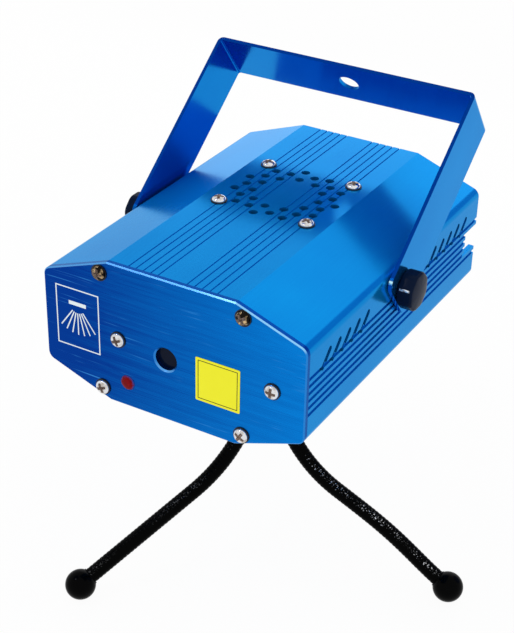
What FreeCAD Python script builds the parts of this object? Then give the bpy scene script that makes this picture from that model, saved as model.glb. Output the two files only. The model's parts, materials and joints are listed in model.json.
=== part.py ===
import FreeCAD, Part
import math
import os
import re
import Sketcher

V = FreeCAD.Vector

SIZES = [
    ("body_width", "92", "housing, side to side"),
    ("body_height", "48.74", "housing, underside to top"),
    ("body_length", "121.74", "housing, front face to rear end"),
    ("flat_margin", "2.43", "flat of the top beyond the fan, each side"),
    ("side_height", "31.68", "upright flat of each side"),
    ("wall", "2", "housing wall"),
    ("corner_round", "3", "rounding of the four side corners"),
    ("axis_to_front", "59.37", "stand axis back from the front face"),
    ("stand_height", "82.88", "floor to the underside"),
    ("fit_gap", "0.05", "radial clearance of a fit"),
    ("plate_thick", "1.8", "front plate"),
    ("plate_bevel", "0.4", "bevel round the front plate"),
    ("port_along", "3.836", "corner screws from the end of the flat, down the slope"),
    ("port_deep", "3.046", "front corner screws under the sloping face"),
    ("rear_port_deep", "5.2", "rear corner screws under the sloping face"),
    ("port_radius", "2.9", "screw port inside the tube"),
    ("screw_radius", "1.45", "screw shank"),
    ("screw_length", "9", "front screw shank under the head"),
    ("rear_screw_length", "4", "rear screw shank under the head"),
    ("bore_past", "1", "screw bore past the end of its screw, and port past its bore"),
    ("screw_head_radius", "2.7", "pan head"),
    ("screw_head_high", "1.6", "pan head"),
    ("screw_crown_radius", "1.7", "top of the pan head"),
    ("screw_play", "0.15", "screw hole over the shank, radial"),
    ("top_groove_wide", "0.45", "top grooves"),
    ("top_groove_deep", "0.25", "top grooves"),
    ("top_groove_first", "5", "innermost top groove from the middle"),
    ("top_groove_pitch", "2.6", "top grooves"),
    ("top_groove_count", "5", "top grooves in a group"),
    ("side_groove_wide", "1.2", "side grooves"),
    ("side_groove_deep", "0.6", "side grooves"),
    ("side_groove_low", "-6.8", "lowest side groove from mid height"),
    ("side_groove_pitch", "2.46", "side grooves"),
    ("side_groove_count", "6", "side grooves"),
    ("louvre_front", "9.87", "front louvre group behind the front face"),
    ("louvre_rear", "38.87", "rear louvre group ahead of the rear end"),
    ("louvre_low", "5.4", "lower end above mid height"),
    ("louvre_rise", "4.1", "slant of a louvre, up and back alike"),
    ("louvre_radius", "1", "half width of a louvre"),
    ("louvre_pitch", "6.15", "louvres"),
    ("louvre_count", "5", "louvres in a group"),
    ("notch_deep", "8.7", "rear side notch, in from the rear end"),
    ("notch_low", "-4.9", "rear side notch, lower edge"),
    ("notch_high", "3.4", "rear side notch, upper edge"),
    ("pivot_drop", "7.14", "bracket pivot below the top of the upright side"),
    ("fan_in", "52.27", "fan axis ahead of the rear end"),
    ("vent_ring_one", "17.5", "outer ring of vent holes"),
    ("vent_ring_two", "15.1", "middle ring"),
    ("vent_ring_three", "11.5", "inner ring"),
    ("vent_radius", "1.5", "vent hole"),
    ("vent_count", "11", "holes in a ring"),
    ("fan_side", "40", "fan frame"),
    ("fan_thick", "10", "fan frame"),
    ("fan_screw_in", "4", "fan screws in from the frame's sides"),
    ("fan_corner", "3", "fan frame corner"),
    ("fan_duct_wall", "1.2", "fan frame outside its duct"),
    ("fan_base_radius", "9", "fan motor base"),
    ("fan_base_thick", "2.2", "fan motor base and struts"),
    ("fan_strut_wide", "2.2", "fan struts"),
    ("fan_pin_radius", "1", "fan shaft"),
    ("fan_pin_length", "1.6", "fan shaft in its bearing"),
    ("fan_play", "0.4", "rotor clear of its frame"),
    ("rotor_hub_radius", "9", "rotor hub"),
    ("rotor_height", "6.4", "rotor"),
    ("blade_count", "7", "fan blades"),
    ("blade_thick", "0.9", "fan blade"),
    ("blade_lean", "4.6", "sideways lean of a blade over its height"),
    ("blade_root", "1", "blade sunk in the hub"),
    ("nut_radius", "2.9", "fan nut across its corners"),
    ("nut_thick", "2.2", "fan nut"),
    ("beam_x", "-1.8", "beam and aperture, sideways"),
    ("beam_z", "-2.85", "beam and aperture, from mid height"),
    ("aperture_radius", "3.75", "aperture in the front plate"),
    ("aperture_bevel", "0.5", "bevel round the aperture"),
    ("beam_radius", "3", "beam hole in the bench"),
    ("window_radius", "5", "aperture window"),
    ("window_thick", "1.5", "aperture window"),
    ("led_x", "-15.7", "indicator, sideways"),
    ("led_z", "-15.65", "indicator, from mid height"),
    ("led_radius", "2.5", "indicator"),
    ("led_collar", "2.85", "indicator collar"),
    ("led_collar_thick", "1", "indicator collar"),
    ("led_dome", "0.8", "indicator proud of the plate"),
    ("led_tail", "6", "indicator behind its collar"),
    ("module_left_in", "5.2", "left bench screw in from the flange's end"),
    ("module_right_in", "4.9", "right bench screw in from the flange's end"),
    ("module_z", "-1.2", "bench screws, from mid height"),
    ("module_screw_length", "4.6", "bench screw shank"),
    ("flange_thick", "3", "bench flange behind the front plate"),
    ("flange_left", "-24", "bench flange"),
    ("flange_gap", "4", "bench flange off the right wall"),
    ("flange_top", "10", "bench flange above mid height"),
    ("shelf_top", "-10", "bench shelf, top face"),
    ("shelf_thick", "2", "bench shelf"),
    ("shelf_length", "70", "bench shelf behind the front plate"),
    ("wheel_radius", "11", "grating wheel"),
    ("wheel_thick", "1.5", "grating wheel"),
    ("wheel_back", "4.4", "grating wheel behind the front plate"),
    ("wheel_offset", "9", "wheel axis beside the beam"),
    ("wheel_play", "0.8", "wheel clear of the bench shelf"),
    ("wheel_boss_radius", "2.6", "wheel boss"),
    ("wheel_boss_thick", "1.2", "wheel boss"),
    ("shaft_radius", "0.75", "grating shaft"),
    ("shaft_seat", "4", "grating shaft inside the motor"),
    ("motor_back", "7.6", "grating motor behind the front plate"),
    ("motor_radius", "5", "grating motor"),
    ("motor_length", "12", "grating motor"),
    ("motor_clip_back", "3", "motor clip behind the motor's face"),
    ("motor_clip_thick", "3", "motor clip"),
    ("motor_clip_wall", "2", "motor clip round the motor"),
    ("combiner_back", "29", "combiner behind the front plate"),
    ("combiner_wide", "10", "combiner glass"),
    ("combiner_thick", "1", "combiner glass"),
    ("combiner_high", "13", "combiner glass"),
    ("laser_radius", "6", "laser modules"),
    ("laser_block_rise", "15", "laser blocks, height"),
    ("laser_block_half", "7.5", "laser blocks, half width"),
    ("green_back", "35", "green laser behind the front plate"),
    ("green_length", "34", "green laser"),
    ("green_block_back", "41", "green block behind the front plate"),
    ("green_block_length", "24", "green block"),
    ("red_start", "6", "red laser, inner end"),
    ("red_gap", "4", "red laser's tail off the right wall"),
    ("red_block_in", "4", "red block in from each end of the red laser"),
    ("tail_radius", "3.5", "laser driver at the end of a module"),
    ("tail_length", "4", "laser driver at the end of a module"),
    ("board_long", "36", "driver board"),
    ("board_thick", "1.6", "driver board"),
    ("board_beside", "0.5", "driver board off the screw ports beside it"),
    ("board_drop", "2.77", "driver board below the bench shelf"),
    ("board_back", "0.37", "driver board ahead of the rear screw ports"),
    ("standoff_radius", "2.25", "board standoff"),
    ("standoff_in", "4.6", "board standoffs in from the board's edges"),
    ("cap_radius", "4", "capacitor"),
    ("cap_high", "9", "capacitor"),
    ("cap_in", "5", "capacitor in from the board's side"),
    ("cap_back", "24", "capacitor behind the board's front edge"),
    ("chip_side", "8", "controller chip"),
    ("chip_high", "1.4", "controller chip"),
    ("chip_back", "14", "controller chip behind the board's front edge"),
    ("panel_inset", "10", "rear panel in from the rear end"),
    ("panel_thick", "1.5", "rear panel"),
    ("panel_gap", "0.15", "rear panel to the tube"),
    ("control_z", "-4", "row of rear controls from mid height"),
    ("jack_x", "-26", "power inlet, sideways"),
    ("jack_radius", "4", "power inlet barrel"),
    ("jack_nut_radius", "5.6", "power inlet nut"),
    ("jack_nut_thick", "2", "power inlet nut"),
    ("jack_bore", "2.85", "power inlet bore"),
    ("jack_deep", "9", "power inlet bore"),
    ("jack_pin_radius", "1.05", "power inlet pin"),
    ("jack_pin_short", "0.15", "power inlet pin inside the nut's face"),
    ("jack_body_radius", "5.2", "power inlet behind the panel"),
    ("jack_body_length", "11", "power inlet behind the panel"),
    ("switch_wide", "15", "switch body"),
    ("switch_high", "6.5", "switch body"),
    ("switch_deep", "6", "switch body"),
    ("switch_channel", "2.5", "switch channel"),
    ("lever_wide", "3", "switch lever"),
    ("lever_high", "2.8", "switch lever"),
    ("lever_proud", "3", "switch lever out of the panel"),
    ("lever_travel", "2", "switch lever, each way"),
    ("lever_play", "0.3", "switch lever in its slot"),
    ("pot_x", "26", "speed control, sideways"),
    ("pot_side", "9.6", "speed control body"),
    ("pot_deep", "7", "speed control body"),
    ("pot_bush_radius", "3.4", "speed control bush"),
    ("pot_nut_radius", "4.8", "speed control nut"),
    ("pot_nut_thick", "1.6", "speed control nut"),
    ("pot_shaft_radius", "2", "speed control shaft"),
    ("pot_shaft_seat", "4", "shaft inside the speed control body"),
    ("speed_radius", "6", "speed knob"),
    ("speed_thick", "7", "speed knob"),
    ("speed_gap", "0.4", "speed knob off its nut"),
    ("speed_seat", "5", "shaft inside the speed knob"),
    ("speed_flute", "0.7", "flute of the speed knob, radius"),
    ("speed_flutes", "16", "flutes of the speed knob"),
    ("speed_bevel", "0.8", "bevel of the speed knob"),
    ("mic_z", "9", "microphone from mid height"),
    ("mic_radius", "3", "microphone"),
    ("mic_length", "5", "microphone"),
    ("mic_hole", "1.25", "microphone hole in the panel"),
    ("strap_thick", "1.2", "bracket strap"),
    ("strap_wide", "20.2", "bracket strap"),
    ("strap_gap", "0.6", "bracket arm off the housing side"),
    ("strap_reach", "66.2", "pivot to the outer face of the crossbar"),
    ("strap_tail", "5.5", "arm below the pivot"),
    ("strap_round", "3.5", "lower corners of the arms"),
    ("strap_bend", "2", "outer bend of the strap"),
    ("bracket_lean", "52.06", "bracket back from upright"),
    ("hang_radius", "3.6", "hole in the crossbar"),
    ("washer_radius", "5", "pivot washer"),
    ("washer_thick", "0.35", "pivot washer"),
    ("knob_radius", "6.5", "thumb knob"),
    ("knob_thick", "5.5", "thumb knob"),
    ("knob_gap", "0.3", "thumb knob off the strap"),
    ("knob_bevel", "0.7", "edge of the thumb knob"),
    ("knob_flute", "1.8", "flute of the thumb knob, radius"),
    ("knob_flute_out", "7.5", "flute of the thumb knob, from its axis"),
    ("knob_flutes", "8", "flutes of the thumb knob"),
    ("knob_seat", "3.5", "stud inside the thumb knob"),
    ("stud_radius", "2", "clamp stud"),
    ("stud_play", "0.25", "clamp stud in the strap, radial"),
    ("insert_radius", "3.6", "pivot insert"),
    ("insert_length", "8", "pivot insert"),
    ("insert_collar_radius", "5.2", "pivot insert collar"),
    ("insert_collar_thick", "3", "pivot insert collar"),
    ("stud_end", "1", "stud short of the insert's end"),
    ("thread_radius", "3.175", "stand screw"),
    ("thread_in", "6", "stand screw inside the housing"),
    ("socket_radius", "5.5", "stand socket barrel"),
    ("socket_collar_radius", "8", "stand socket collar"),
    ("socket_collar_thick", "5", "stand socket collar"),
    ("ring_gap", "0.3", "lock ring to the housing and to the hub"),
    ("ring_thick", "5", "lock ring"),
    ("ring_radius", "10", "lock ring"),
    ("ring_flute", "0.6", "flute of the lock ring, radius"),
    ("ring_flutes", "24", "flutes of the lock ring"),
    ("ring_bevel", "0.6", "edge of the lock ring"),
    ("hub_radius", "8", "stand hub"),
    ("hub_height", "8.7", "stand hub"),
    ("hub_bevel", "1", "stand hub edges"),
    ("hub_seat", "3", "stand screw inside the hub"),
    ("leg_radius", "2.5", "gooseneck leg"),
    ("leg_root", "4", "leg axis from the stand axis, in the hub"),
    ("leg_seat", "4.2", "leg inside the hub, above its bend"),
    ("leg_bend", "46", "bend radius of the legs"),
    ("leg_rise", "0.652", "start of the bend above the hub's foot"),
    ("leg_turn", "1", "first leg, turned from the right side"),
    ("leg_count", "3", "legs"),
    ("foot_reach", "72.35", "foot from the stand axis"),
    ("foot_radius", "5.25", "ball foot"),
    ("foot_seat", "3", "leg inside the ball foot"),
]
NAMES = {name for name, number_text, words in SIZES}

MID_Z = "(stand_height + body_height / 2)"
FRONT = "(0 - axis_to_front)"
BACK = "(body_length - axis_to_front)"
PLATE_BACK = f"({FRONT} + plate_thick)"
PANEL_FACE = f"({BACK} - panel_inset)"
PANEL_BACK = f"({PANEL_FACE} - panel_thick)"
TOP = "(body_height / 2)"
FLOOR = "(wall - body_height / 2)"
SIDE = "(body_width / 2)"
FLAT = "(fan_side / 2 + flat_margin)"
RUN = f"({SIDE} - {FLAT})"
RISE = "((body_height - side_height) / 2)"
SLANT = f"sqrt({RUN} ^ 2 + {RISE} ^ 2)"
SCREW_HOLE = "(screw_radius + screw_play)"
SCREW_SEAT = "(screw_radius + fit_gap)"
REAR_PORT_LONG = "(rear_screw_length - panel_thick + 2 * bore_past)"
LOUVRE_FRONT = f"({FRONT} + louvre_front)"
LOUVRE_REAR = f"({BACK} - louvre_rear)"
PIVOT_RISE = "(side_height / 2 - pivot_drop)"
FAN_Y = f"({BACK} - fan_in)"
FAN_OUT = "(fan_side / 2 - fan_screw_in)"
FAN_DUCT = "(fan_side / 2 - fan_duct_wall)"
FAN_TOP = f"({TOP} - wall)"
FAN_FOOT = f"({FAN_TOP} - fan_thick)"
SHELF_FOOT = "(shelf_top - shelf_thick)"
FLANGE_RIGHT = f"({SIDE} - wall - flange_gap)"
MODULE_LEFT = "(flange_left + module_left_in)"
MODULE_RIGHT = f"({FLANGE_RIGHT} - module_right_in)"
RED_LENGTH = f"({SIDE} - wall - red_gap - tail_length - red_start)"
WHEEL_X = "(beam_x + wheel_offset)"
WHEEL_Y = f"({PLATE_BACK} + wheel_back)"
MOTOR_Y = f"({PLATE_BACK} + motor_back)"
BOARD_TOP = f"({SHELF_FOOT} - board_drop)"
BOARD_FOOT = f"({BOARD_TOP} - board_thick)"
BOARD_FRONT = f"({PANEL_BACK} - {REAR_PORT_LONG} - board_back - board_long)"
LEVER_SLOT_WIDE = "(lever_wide + 2 * (lever_travel + lever_play))"
LEVER_SLOT_HIGH = "(lever_high + 2 * lever_play)"
SPEED_Y = f"({PANEL_FACE} + pot_nut_thick + speed_gap)"
STRAP_IN = f"({SIDE} + strap_gap)"
STRAP_OUT = f"({STRAP_IN} + strap_thick)"
PIVOT_Z = f"({MID_Z} + {PIVOT_RISE})"
KNOB_X = f"({STRAP_OUT} + knob_gap)"
STUD_X = f"({SIDE} - insert_length + stud_end)"
RING_TOP = "(stand_height - ring_gap)"
HUB_TOP = f"({RING_TOP} - ring_thick - ring_gap)"
HUB_FOOT = f"({HUB_TOP} - hub_height)"
BEND_R = "(leg_root + leg_bend)"
BEND_Z = f"({HUB_FOOT} + leg_rise)"
BEND_OUT = f"(foot_reach - {BEND_R})"
BEND_UP = f"({BEND_Z} - foot_radius)"
BEND_SPAN = f"sqrt({BEND_OUT} ^ 2 + {BEND_UP} ^ 2)"
LEG_SLOPE = f"((atan2({BEND_UP}; {BEND_OUT}) - asin(leg_bend / {BEND_SPAN})) / 1 deg)"
LEG_TOP = f"({BEND_Z} + leg_seat)"
TIP_IN = "(foot_radius - foot_seat)"
TIP_R = f"(foot_reach - {TIP_IN} * cos({LEG_SLOPE}))"
TIP_Z = f"(foot_radius + {TIP_IN} * sin({LEG_SLOPE}))"

doc = FreeCAD.newDocument("laser_projector")
sheet = doc.addObject("Spreadsheet::Sheet", "Sizes")
for row, (alias, number_text, words) in enumerate(SIZES, start=1):
    sheet.set(f"A{row}", words)
    sheet.set(f"B{row}", number_text)
    sheet.setAlias(f"B{row}", alias)
doc.recompute()

nodes = []
facing = {}


def tied(text):
    """The expression with every size name pointing at its cell."""
    return re.sub(r"[a-z][a-z_]*", lambda m: "Sizes." + m[0] if m[0] in NAMES else m[0], str(text))


def number(text):
    return float(sheet.evalExpression(tied(text)))


def minus(text):
    return f"(0 - {text})"


def bind(obj, **links):
    for prop, text in links.items():
        obj.setExpression(prop, tied(text))
    return obj


def place(obj, x="0", y="0", z="0", axis=None, angle="0"):
    turn = FreeCAD.Rotation()
    if axis:
        turn = FreeCAD.Rotation(V(*axis), number(angle))
    obj.Placement = FreeCAD.Placement(V(number(x), number(y), number(z)), turn)
    for letter, text in zip("xyz", (x, y, z)):
        obj.setExpression(f"Placement.Base.{letter}", tied(text))
    if axis:
        obj.setExpression("Placement.Rotation.Angle", tied(angle))
    return obj


def node(obj, label):
    obj.Label = label
    nodes.append(obj)
    return obj


def housed(obj, label):
    """A sub-part drawn from the middle of the housing, set at its height over the floor."""
    return place(node(obj, label), z=MID_Z)


def box(name, x, y, z, dx, dy, dz):
    obj = bind(doc.addObject("Part::Box", name), Length=dx, Width=dy, Height=dz)
    return place(obj, x, y, z)


def rod(name, radius, length, x, y, z, along="z"):
    obj = bind(doc.addObject("Part::Cylinder", name), Radius=radius, Height=length)
    if along == "x":
        return place(obj, x, y, z, (0, 1, 0), "90")
    if along == "y":
        return place(obj, x, y, z, (1, 0, 0), "-90")
    return place(obj, x, y, z)


def fused(name, *parts):
    obj = doc.addObject("Part::MultiFuse", name)
    obj.Shapes = list(parts)
    obj.Refine = True
    return obj


def without(name, base, *tools):
    tool = tools[0] if len(tools) == 1 else fused(name + "_tools", *tools)
    obj = doc.addObject("Part::Cut", name)
    obj.Base = base
    obj.Tool = tool
    obj.Refine = True
    return obj


def group(name, parts):
    obj = doc.addObject("Part::Compound", name)
    obj.Links = list(parts)
    return obj


def body(label):
    return node(doc.addObject("PartDesign::Body", label), label)


def part_of(owner, role):
    return next(f for f in owner.Origin.OriginFeatures if f.Role == role)


def sketch(owner, name, role, away, x="0", y="0"):
    """A sketch on one of the body's planes, moved away from it by the given distance."""
    obj = owner.newObject("Sketcher::SketchObject", name)
    obj.AttachmentSupport = (part_of(owner, role), [""])
    obj.MapMode = "FlatFace"
    facing[obj.Name] = -1 if role == "XZ_Plane" else 1
    lift = minus(f"({away})") if role == "XZ_Plane" else away
    obj.AttachmentOffset = FreeCAD.Placement(V(number(x), number(y), number(lift)), FreeCAD.Rotation())
    for letter, text in zip("xyz", (x, y, lift)):
        obj.setExpression(f"AttachmentOffset.Base.{letter}", tied(text))
    return obj


def pin(drawing, curve, point, x, y):
    """Fix a point of a curve at two bound distances from the sketch's origin."""
    for kind, text, line in (("DistanceX", x, -2), ("DistanceY", y, -1)):
        if text == "0":
            drawing.addConstraint(Sketcher.Constraint("PointOnObject", curve, point, line))
            continue
        index = drawing.addConstraint(Sketcher.Constraint(kind, -1, 1, curve, point, number(text)))
        drawing.setExpression(f"Constraints[{index}]", tied(text))


def radius_of(drawing, curve, radius):
    index = drawing.addConstraint(Sketcher.Constraint("Radius", curve, number(radius)))
    drawing.setExpression(f"Constraints[{index}]", tied(radius))


def polygon(drawing, points):
    first = drawing.GeometryCount
    count = len(points)
    spots = [V(number(x), number(y), 0) for x, y in points]
    for i in range(count):
        drawing.addGeometry(Part.LineSegment(spots[i], spots[(i + 1) % count]))
    for i in range(count):
        joint = Sketcher.Constraint("Coincident", first + i, 2, first + (i + 1) % count, 1)
        drawing.addConstraint(joint)
    for i, (x, y) in enumerate(points):
        pin(drawing, first + i, 1, x, y)


def rectangle(drawing, x, y, wide, high):
    right = f"({x}) + ({wide})"
    top = f"({y}) + ({high})"
    polygon(drawing, [(x, y), (right, y), (right, top), (x, top)])


def circle(drawing, x, y, radius):
    curve = drawing.addGeometry(Part.Circle(V(number(x), number(y), 0), V(0, 0, 1), number(radius)))
    pin(drawing, curve, 3, x, y)
    radius_of(drawing, curve, radius)


def slot(drawing, low, high, radius):
    """A round-ended slot between two centres."""
    ends = [V(number(x), number(y), 0) for x, y in (low, high)]
    half = number(radius)
    ahead = math.atan2(ends[1].y - ends[0].y, ends[1].x - ends[0].x)
    across = V(-math.sin(ahead), math.cos(ahead), 0) * half
    quarter = math.pi / 2
    far = Part.Circle(ends[1], V(0, 0, 1), half)
    near = Part.Circle(ends[0], V(0, 0, 1), half)
    first = drawing.addGeometry(Part.ArcOfCircle(far, ahead - quarter, ahead + quarter))
    drawing.addGeometry(Part.LineSegment(ends[1] + across, ends[0] + across))
    drawing.addGeometry(Part.ArcOfCircle(near, ahead + quarter, ahead + 3 * quarter))
    drawing.addGeometry(Part.LineSegment(ends[0] - across, ends[1] - across))
    for i in range(4):
        joint = Sketcher.Constraint("Tangent", first + i, 2, first + (i + 1) % 4, 1)
        drawing.addConstraint(joint)
    drawing.addConstraint(Sketcher.Constraint("Equal", first, first + 2))
    pin(drawing, first, 3, *high)
    pin(drawing, first + 2, 3, *low)
    radius_of(drawing, first, radius)


def pad(owner, drawing, length, way=1):
    """Add the sketch's area, towards the plus side of its axis or the minus side."""
    feature = owner.newObject("PartDesign::Pad", drawing.Name + "_pad")
    feature.Profile = drawing
    bind(feature, Length=length)
    feature.Reversed = facing[drawing.Name] != way
    doc.recompute()
    return feature


def pocket(owner, drawing, length=None, way=-1):
    """Cut the sketch's area away, by a length or right through, and see that it took material."""
    before = owner.Shape.Volume
    feature = owner.newObject("PartDesign::Pocket", drawing.Name + "_cut")
    feature.Profile = drawing
    if length is None:
        feature.Type = "ThroughAll"
    else:
        bind(feature, Length=length)
    feature.Reversed = facing[drawing.Name] == way
    doc.recompute()
    if owner.Shape.Volume > before - 1e-3:
        raise RuntimeError(drawing.Name + " cut nothing")
    return feature


def ring_of(owner, feature, axis, count):
    pattern = owner.newObject("PartDesign::PolarPattern", feature.Name + "_ring")
    pattern.Originals = [feature]
    pattern.Axis = axis
    pattern.Angle = 360
    bind(pattern, Occurrences=count)
    owner.Tip = pattern
    doc.recompute()
    return pattern


def row_of(owner, feature, direction, length, count):
    pattern = owner.newObject("PartDesign::LinearPattern", feature.Name + "_row")
    pattern.Originals = [feature]
    pattern.Direction = direction
    bind(pattern, Length=length, Occurrences=count)
    owner.Tip = pattern
    doc.recompute()
    return pattern


def dressed(owner, kind, base, test, prop, size):
    """A fillet or a chamfer on the edges that pass the test."""
    feature = owner.newObject("PartDesign::" + kind, base.Name + "_" + kind.lower())
    feature.Base = (base, [f"Edge{i}" for i, e in enumerate(base.Shape.Edges, 1) if test(e)])
    bind(feature, **{prop: size})
    doc.recompute()
    return feature


def near(value, text):
    return abs(abs(value) - abs(number(text))) < 0.01


def octagon(inset="0"):
    """The housing's outline as corner points, moved inwards by the inset."""
    flat = f"({FLAT} - ({inset}) * ({SLANT} - {RUN}) / {RISE})"
    top = f"({TOP} - ({inset}))"
    side = f"({SIDE} - ({inset}))"
    shoulder = f"(side_height / 2 - ({inset}) * ({SLANT} - {RISE}) / {RUN})"
    right = [(flat, top), (side, shoulder), (side, minus(shoulder)), (flat, minus(top))]
    left = [(minus(x), z) for x, z in reversed(right)]
    return right + left


def corner_spots(deep):
    """The places of the four corner screws, the given depth under the sloping faces."""
    x = f"({FLAT} + (port_along * {RUN} - {deep} * {RISE}) / {SLANT})"
    z = f"({TOP} - (port_along * {RISE} + {deep} * {RUN}) / {SLANT})"
    return [(across, up) for across in (x, minus(x)) for up in (z, minus(z))]


def ports(drawing, deep, radius):
    for x, z in corner_spots(deep):
        circle(drawing, x, z, radius)


def side_corner(edge):
    spot = edge.CenterOfMass
    along_y = edge.BoundBox.XLength < 0.01 and edge.BoundBox.ZLength < 0.01
    return along_y and near(spot.x, SIDE) and near(spot.z, "side_height / 2")


def screw(name, x, y, z, along, way, length):
    """A pan head screw whose head seats at the point and whose shank runs the given way along the axis."""
    back = f"({length})"
    shank_at = {"x": x, "y": y, "z": z}
    head_at = dict(shank_at)
    if way < 0:
        shank_at[along] = f"({shank_at[along]} - {back})"
    else:
        head_at[along] = f"({head_at[along]} - screw_head_high)"
    shank = rod(name + "_shank", "screw_radius", back, shank_at["x"], shank_at["y"], shank_at["z"], along)
    foot, crown = ("screw_head_radius", "screw_crown_radius")
    if way > 0:
        foot, crown = crown, foot
    head = bind(doc.addObject("Part::Cone", name + "_head"), Radius1=foot, Radius2=crown)
    bind(head, Height="screw_head_high")
    turn = {"x": ((0, 1, 0), "90"), "y": ((1, 0, 0), "-90"), "z": (None, "0")}[along]
    place(head, head_at["x"], head_at["y"], head_at["z"], *turn)
    return fused(name, shank, head)


def corner_screws(name, y, way, deep, length):
    spots = enumerate(corner_spots(deep))
    return group(name, [screw(f"{name}_{i}", x, y, z, "y", way, length) for i, (x, z) in spots])


def housing_shell():
    shell = body("housing_shell")
    outline = sketch(shell, "shell_outline", "XZ_Plane", PLATE_BACK)
    polygon(outline, octagon())
    polygon(outline, octagon("wall"))
    tube = pad(shell, outline, f"{BACK} - {PLATE_BACK}")
    dressed(shell, "Fillet", tube, side_corner, "Radius", "corner_round")
    bosses = sketch(shell, "screw_ports", "XZ_Plane", PLATE_BACK)
    ports(bosses, "port_deep", "port_radius")
    pad(shell, bosses, f"{PANEL_BACK} - {PLATE_BACK}")
    bores = sketch(shell, "port_bores", "XZ_Plane", PLATE_BACK)
    ports(bores, "port_deep", SCREW_SEAT)
    pocket(shell, bores, "screw_length - plate_thick + bore_past", 1)
    rear_bosses = sketch(shell, "rear_ports", "XZ_Plane", PANEL_BACK)
    ports(rear_bosses, "rear_port_deep", "port_radius")
    pad(shell, rear_bosses, REAR_PORT_LONG, -1)
    rear_bores = sketch(shell, "rear_port_bores", "XZ_Plane", PANEL_BACK)
    ports(rear_bores, "rear_port_deep", SCREW_SEAT)
    pocket(shell, rear_bores, f"{REAR_PORT_LONG} - bore_past", -1)
    last = "(top_groove_first + (top_groove_count - 1) * top_groove_pitch + top_groove_wide / 2)"
    grooves = sketch(shell, "top_grooves", "XZ_Plane", BACK)
    for x in (minus(last), "top_groove_first - top_groove_wide / 2"):
        for z in (TOP, minus(TOP)):
            rectangle(grooves, x, f"{z} - top_groove_deep", "top_groove_wide", "2 * top_groove_deep")
    first = pocket(shell, grooves)
    spread = "(top_groove_count - 1) * top_groove_pitch"
    row_of(shell, first, (grooves, ["H_Axis"]), spread, "top_groove_count")
    lines = sketch(shell, "side_grooves", "XZ_Plane", BACK)
    for x in (minus(SIDE), SIDE):
        rectangle(lines, f"{x} - side_groove_deep", "side_groove_low - side_groove_wide / 2",
                  "2 * side_groove_deep", "side_groove_wide")
    first = pocket(shell, lines)
    spread = "(side_groove_count - 1) * side_groove_pitch"
    row_of(shell, first, (lines, ["V_Axis"]), spread, "side_groove_count")
    for name, start in (("front_louvres", LOUVRE_FRONT), ("rear_louvres", LOUVRE_REAR)):
        louvre = sketch(shell, name, "YZ_Plane", SIDE)
        high = (f"{start} + louvre_rise", "louvre_low + louvre_rise")
        slot(louvre, (start, "louvre_low"), high, "louvre_radius")
        first = pocket(shell, louvre)
        row_of(shell, first, (louvre, ["H_Axis"]), "(louvre_count - 1) * louvre_pitch", "louvre_count")
    notch = sketch(shell, "rear_notch", "YZ_Plane", SIDE)
    rectangle(notch, f"{BACK} - notch_deep", "notch_low", "2 * notch_deep", "notch_high - notch_low")
    pocket(shell, notch)
    pivots = sketch(shell, "pivot_holes", "YZ_Plane", SIDE)
    circle(pivots, "0", PIVOT_RISE, "insert_radius + fit_gap")
    pocket(shell, pivots)
    vents = sketch(shell, "vent_holes", "XY_Plane", TOP, y=FAN_Y)
    circle(vents, "vent_ring_one", "0", "vent_radius")
    middle = ("vent_ring_two * cos(180 / vent_count)", "vent_ring_two * sin(180 / vent_count)")
    circle(vents, *middle, "vent_radius")
    circle(vents, "vent_ring_three", "0", "vent_radius")
    first = pocket(shell, vents, "2 * wall")
    ring_of(shell, first, (vents, ["N_Axis"]), "vent_count")
    mounts = sketch(shell, "fan_holes", "XY_Plane", TOP, y=FAN_Y)
    for x in (FAN_OUT, minus(FAN_OUT)):
        for y in (FAN_OUT, minus(FAN_OUT)):
            circle(mounts, x, y, SCREW_HOLE)
    pocket(shell, mounts, "2 * wall")
    foot = sketch(shell, "socket_hole", "XY_Plane", f"0 - {TOP}")
    circle(foot, "0", "0", "socket_radius + fit_gap")
    pocket(shell, foot, "2 * wall", 1)
    place(shell, z=MID_Z)


def front_plate():
    plate = body("front_plate")
    outline = sketch(plate, "plate_outline", "XZ_Plane", FRONT)
    polygon(outline, octagon())
    slab = pad(plate, outline, "plate_thick")
    rounded = dressed(plate, "Fillet", slab, side_corner, "Radius", "corner_round")

    def front_edge(edge):
        return edge.BoundBox.YLength < 0.01 and abs(edge.CenterOfMass.y - number(FRONT)) < 0.01

    dressed(plate, "Chamfer", rounded, front_edge, "Size", "plate_bevel")
    holes = sketch(plate, "plate_holes", "XZ_Plane", FRONT)
    ports(holes, "port_deep", SCREW_HOLE)
    circle(holes, MODULE_LEFT, "module_z", SCREW_HOLE)
    circle(holes, MODULE_RIGHT, "module_z", SCREW_HOLE)
    circle(holes, "beam_x", "beam_z", "aperture_radius")
    circle(holes, "led_x", "led_z", "led_radius + fit_gap")
    cut = pocket(plate, holes, None, 1)

    def aperture_edge(edge):
        round_edge = edge.Curve.TypeId == "Part::GeomCircle"
        return front_edge(edge) and round_edge and near(edge.Curve.Radius, "aperture_radius")

    dressed(plate, "Chamfer", cut, aperture_edge, "Size", "aperture_bevel")
    place(plate, z=MID_Z)


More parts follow.
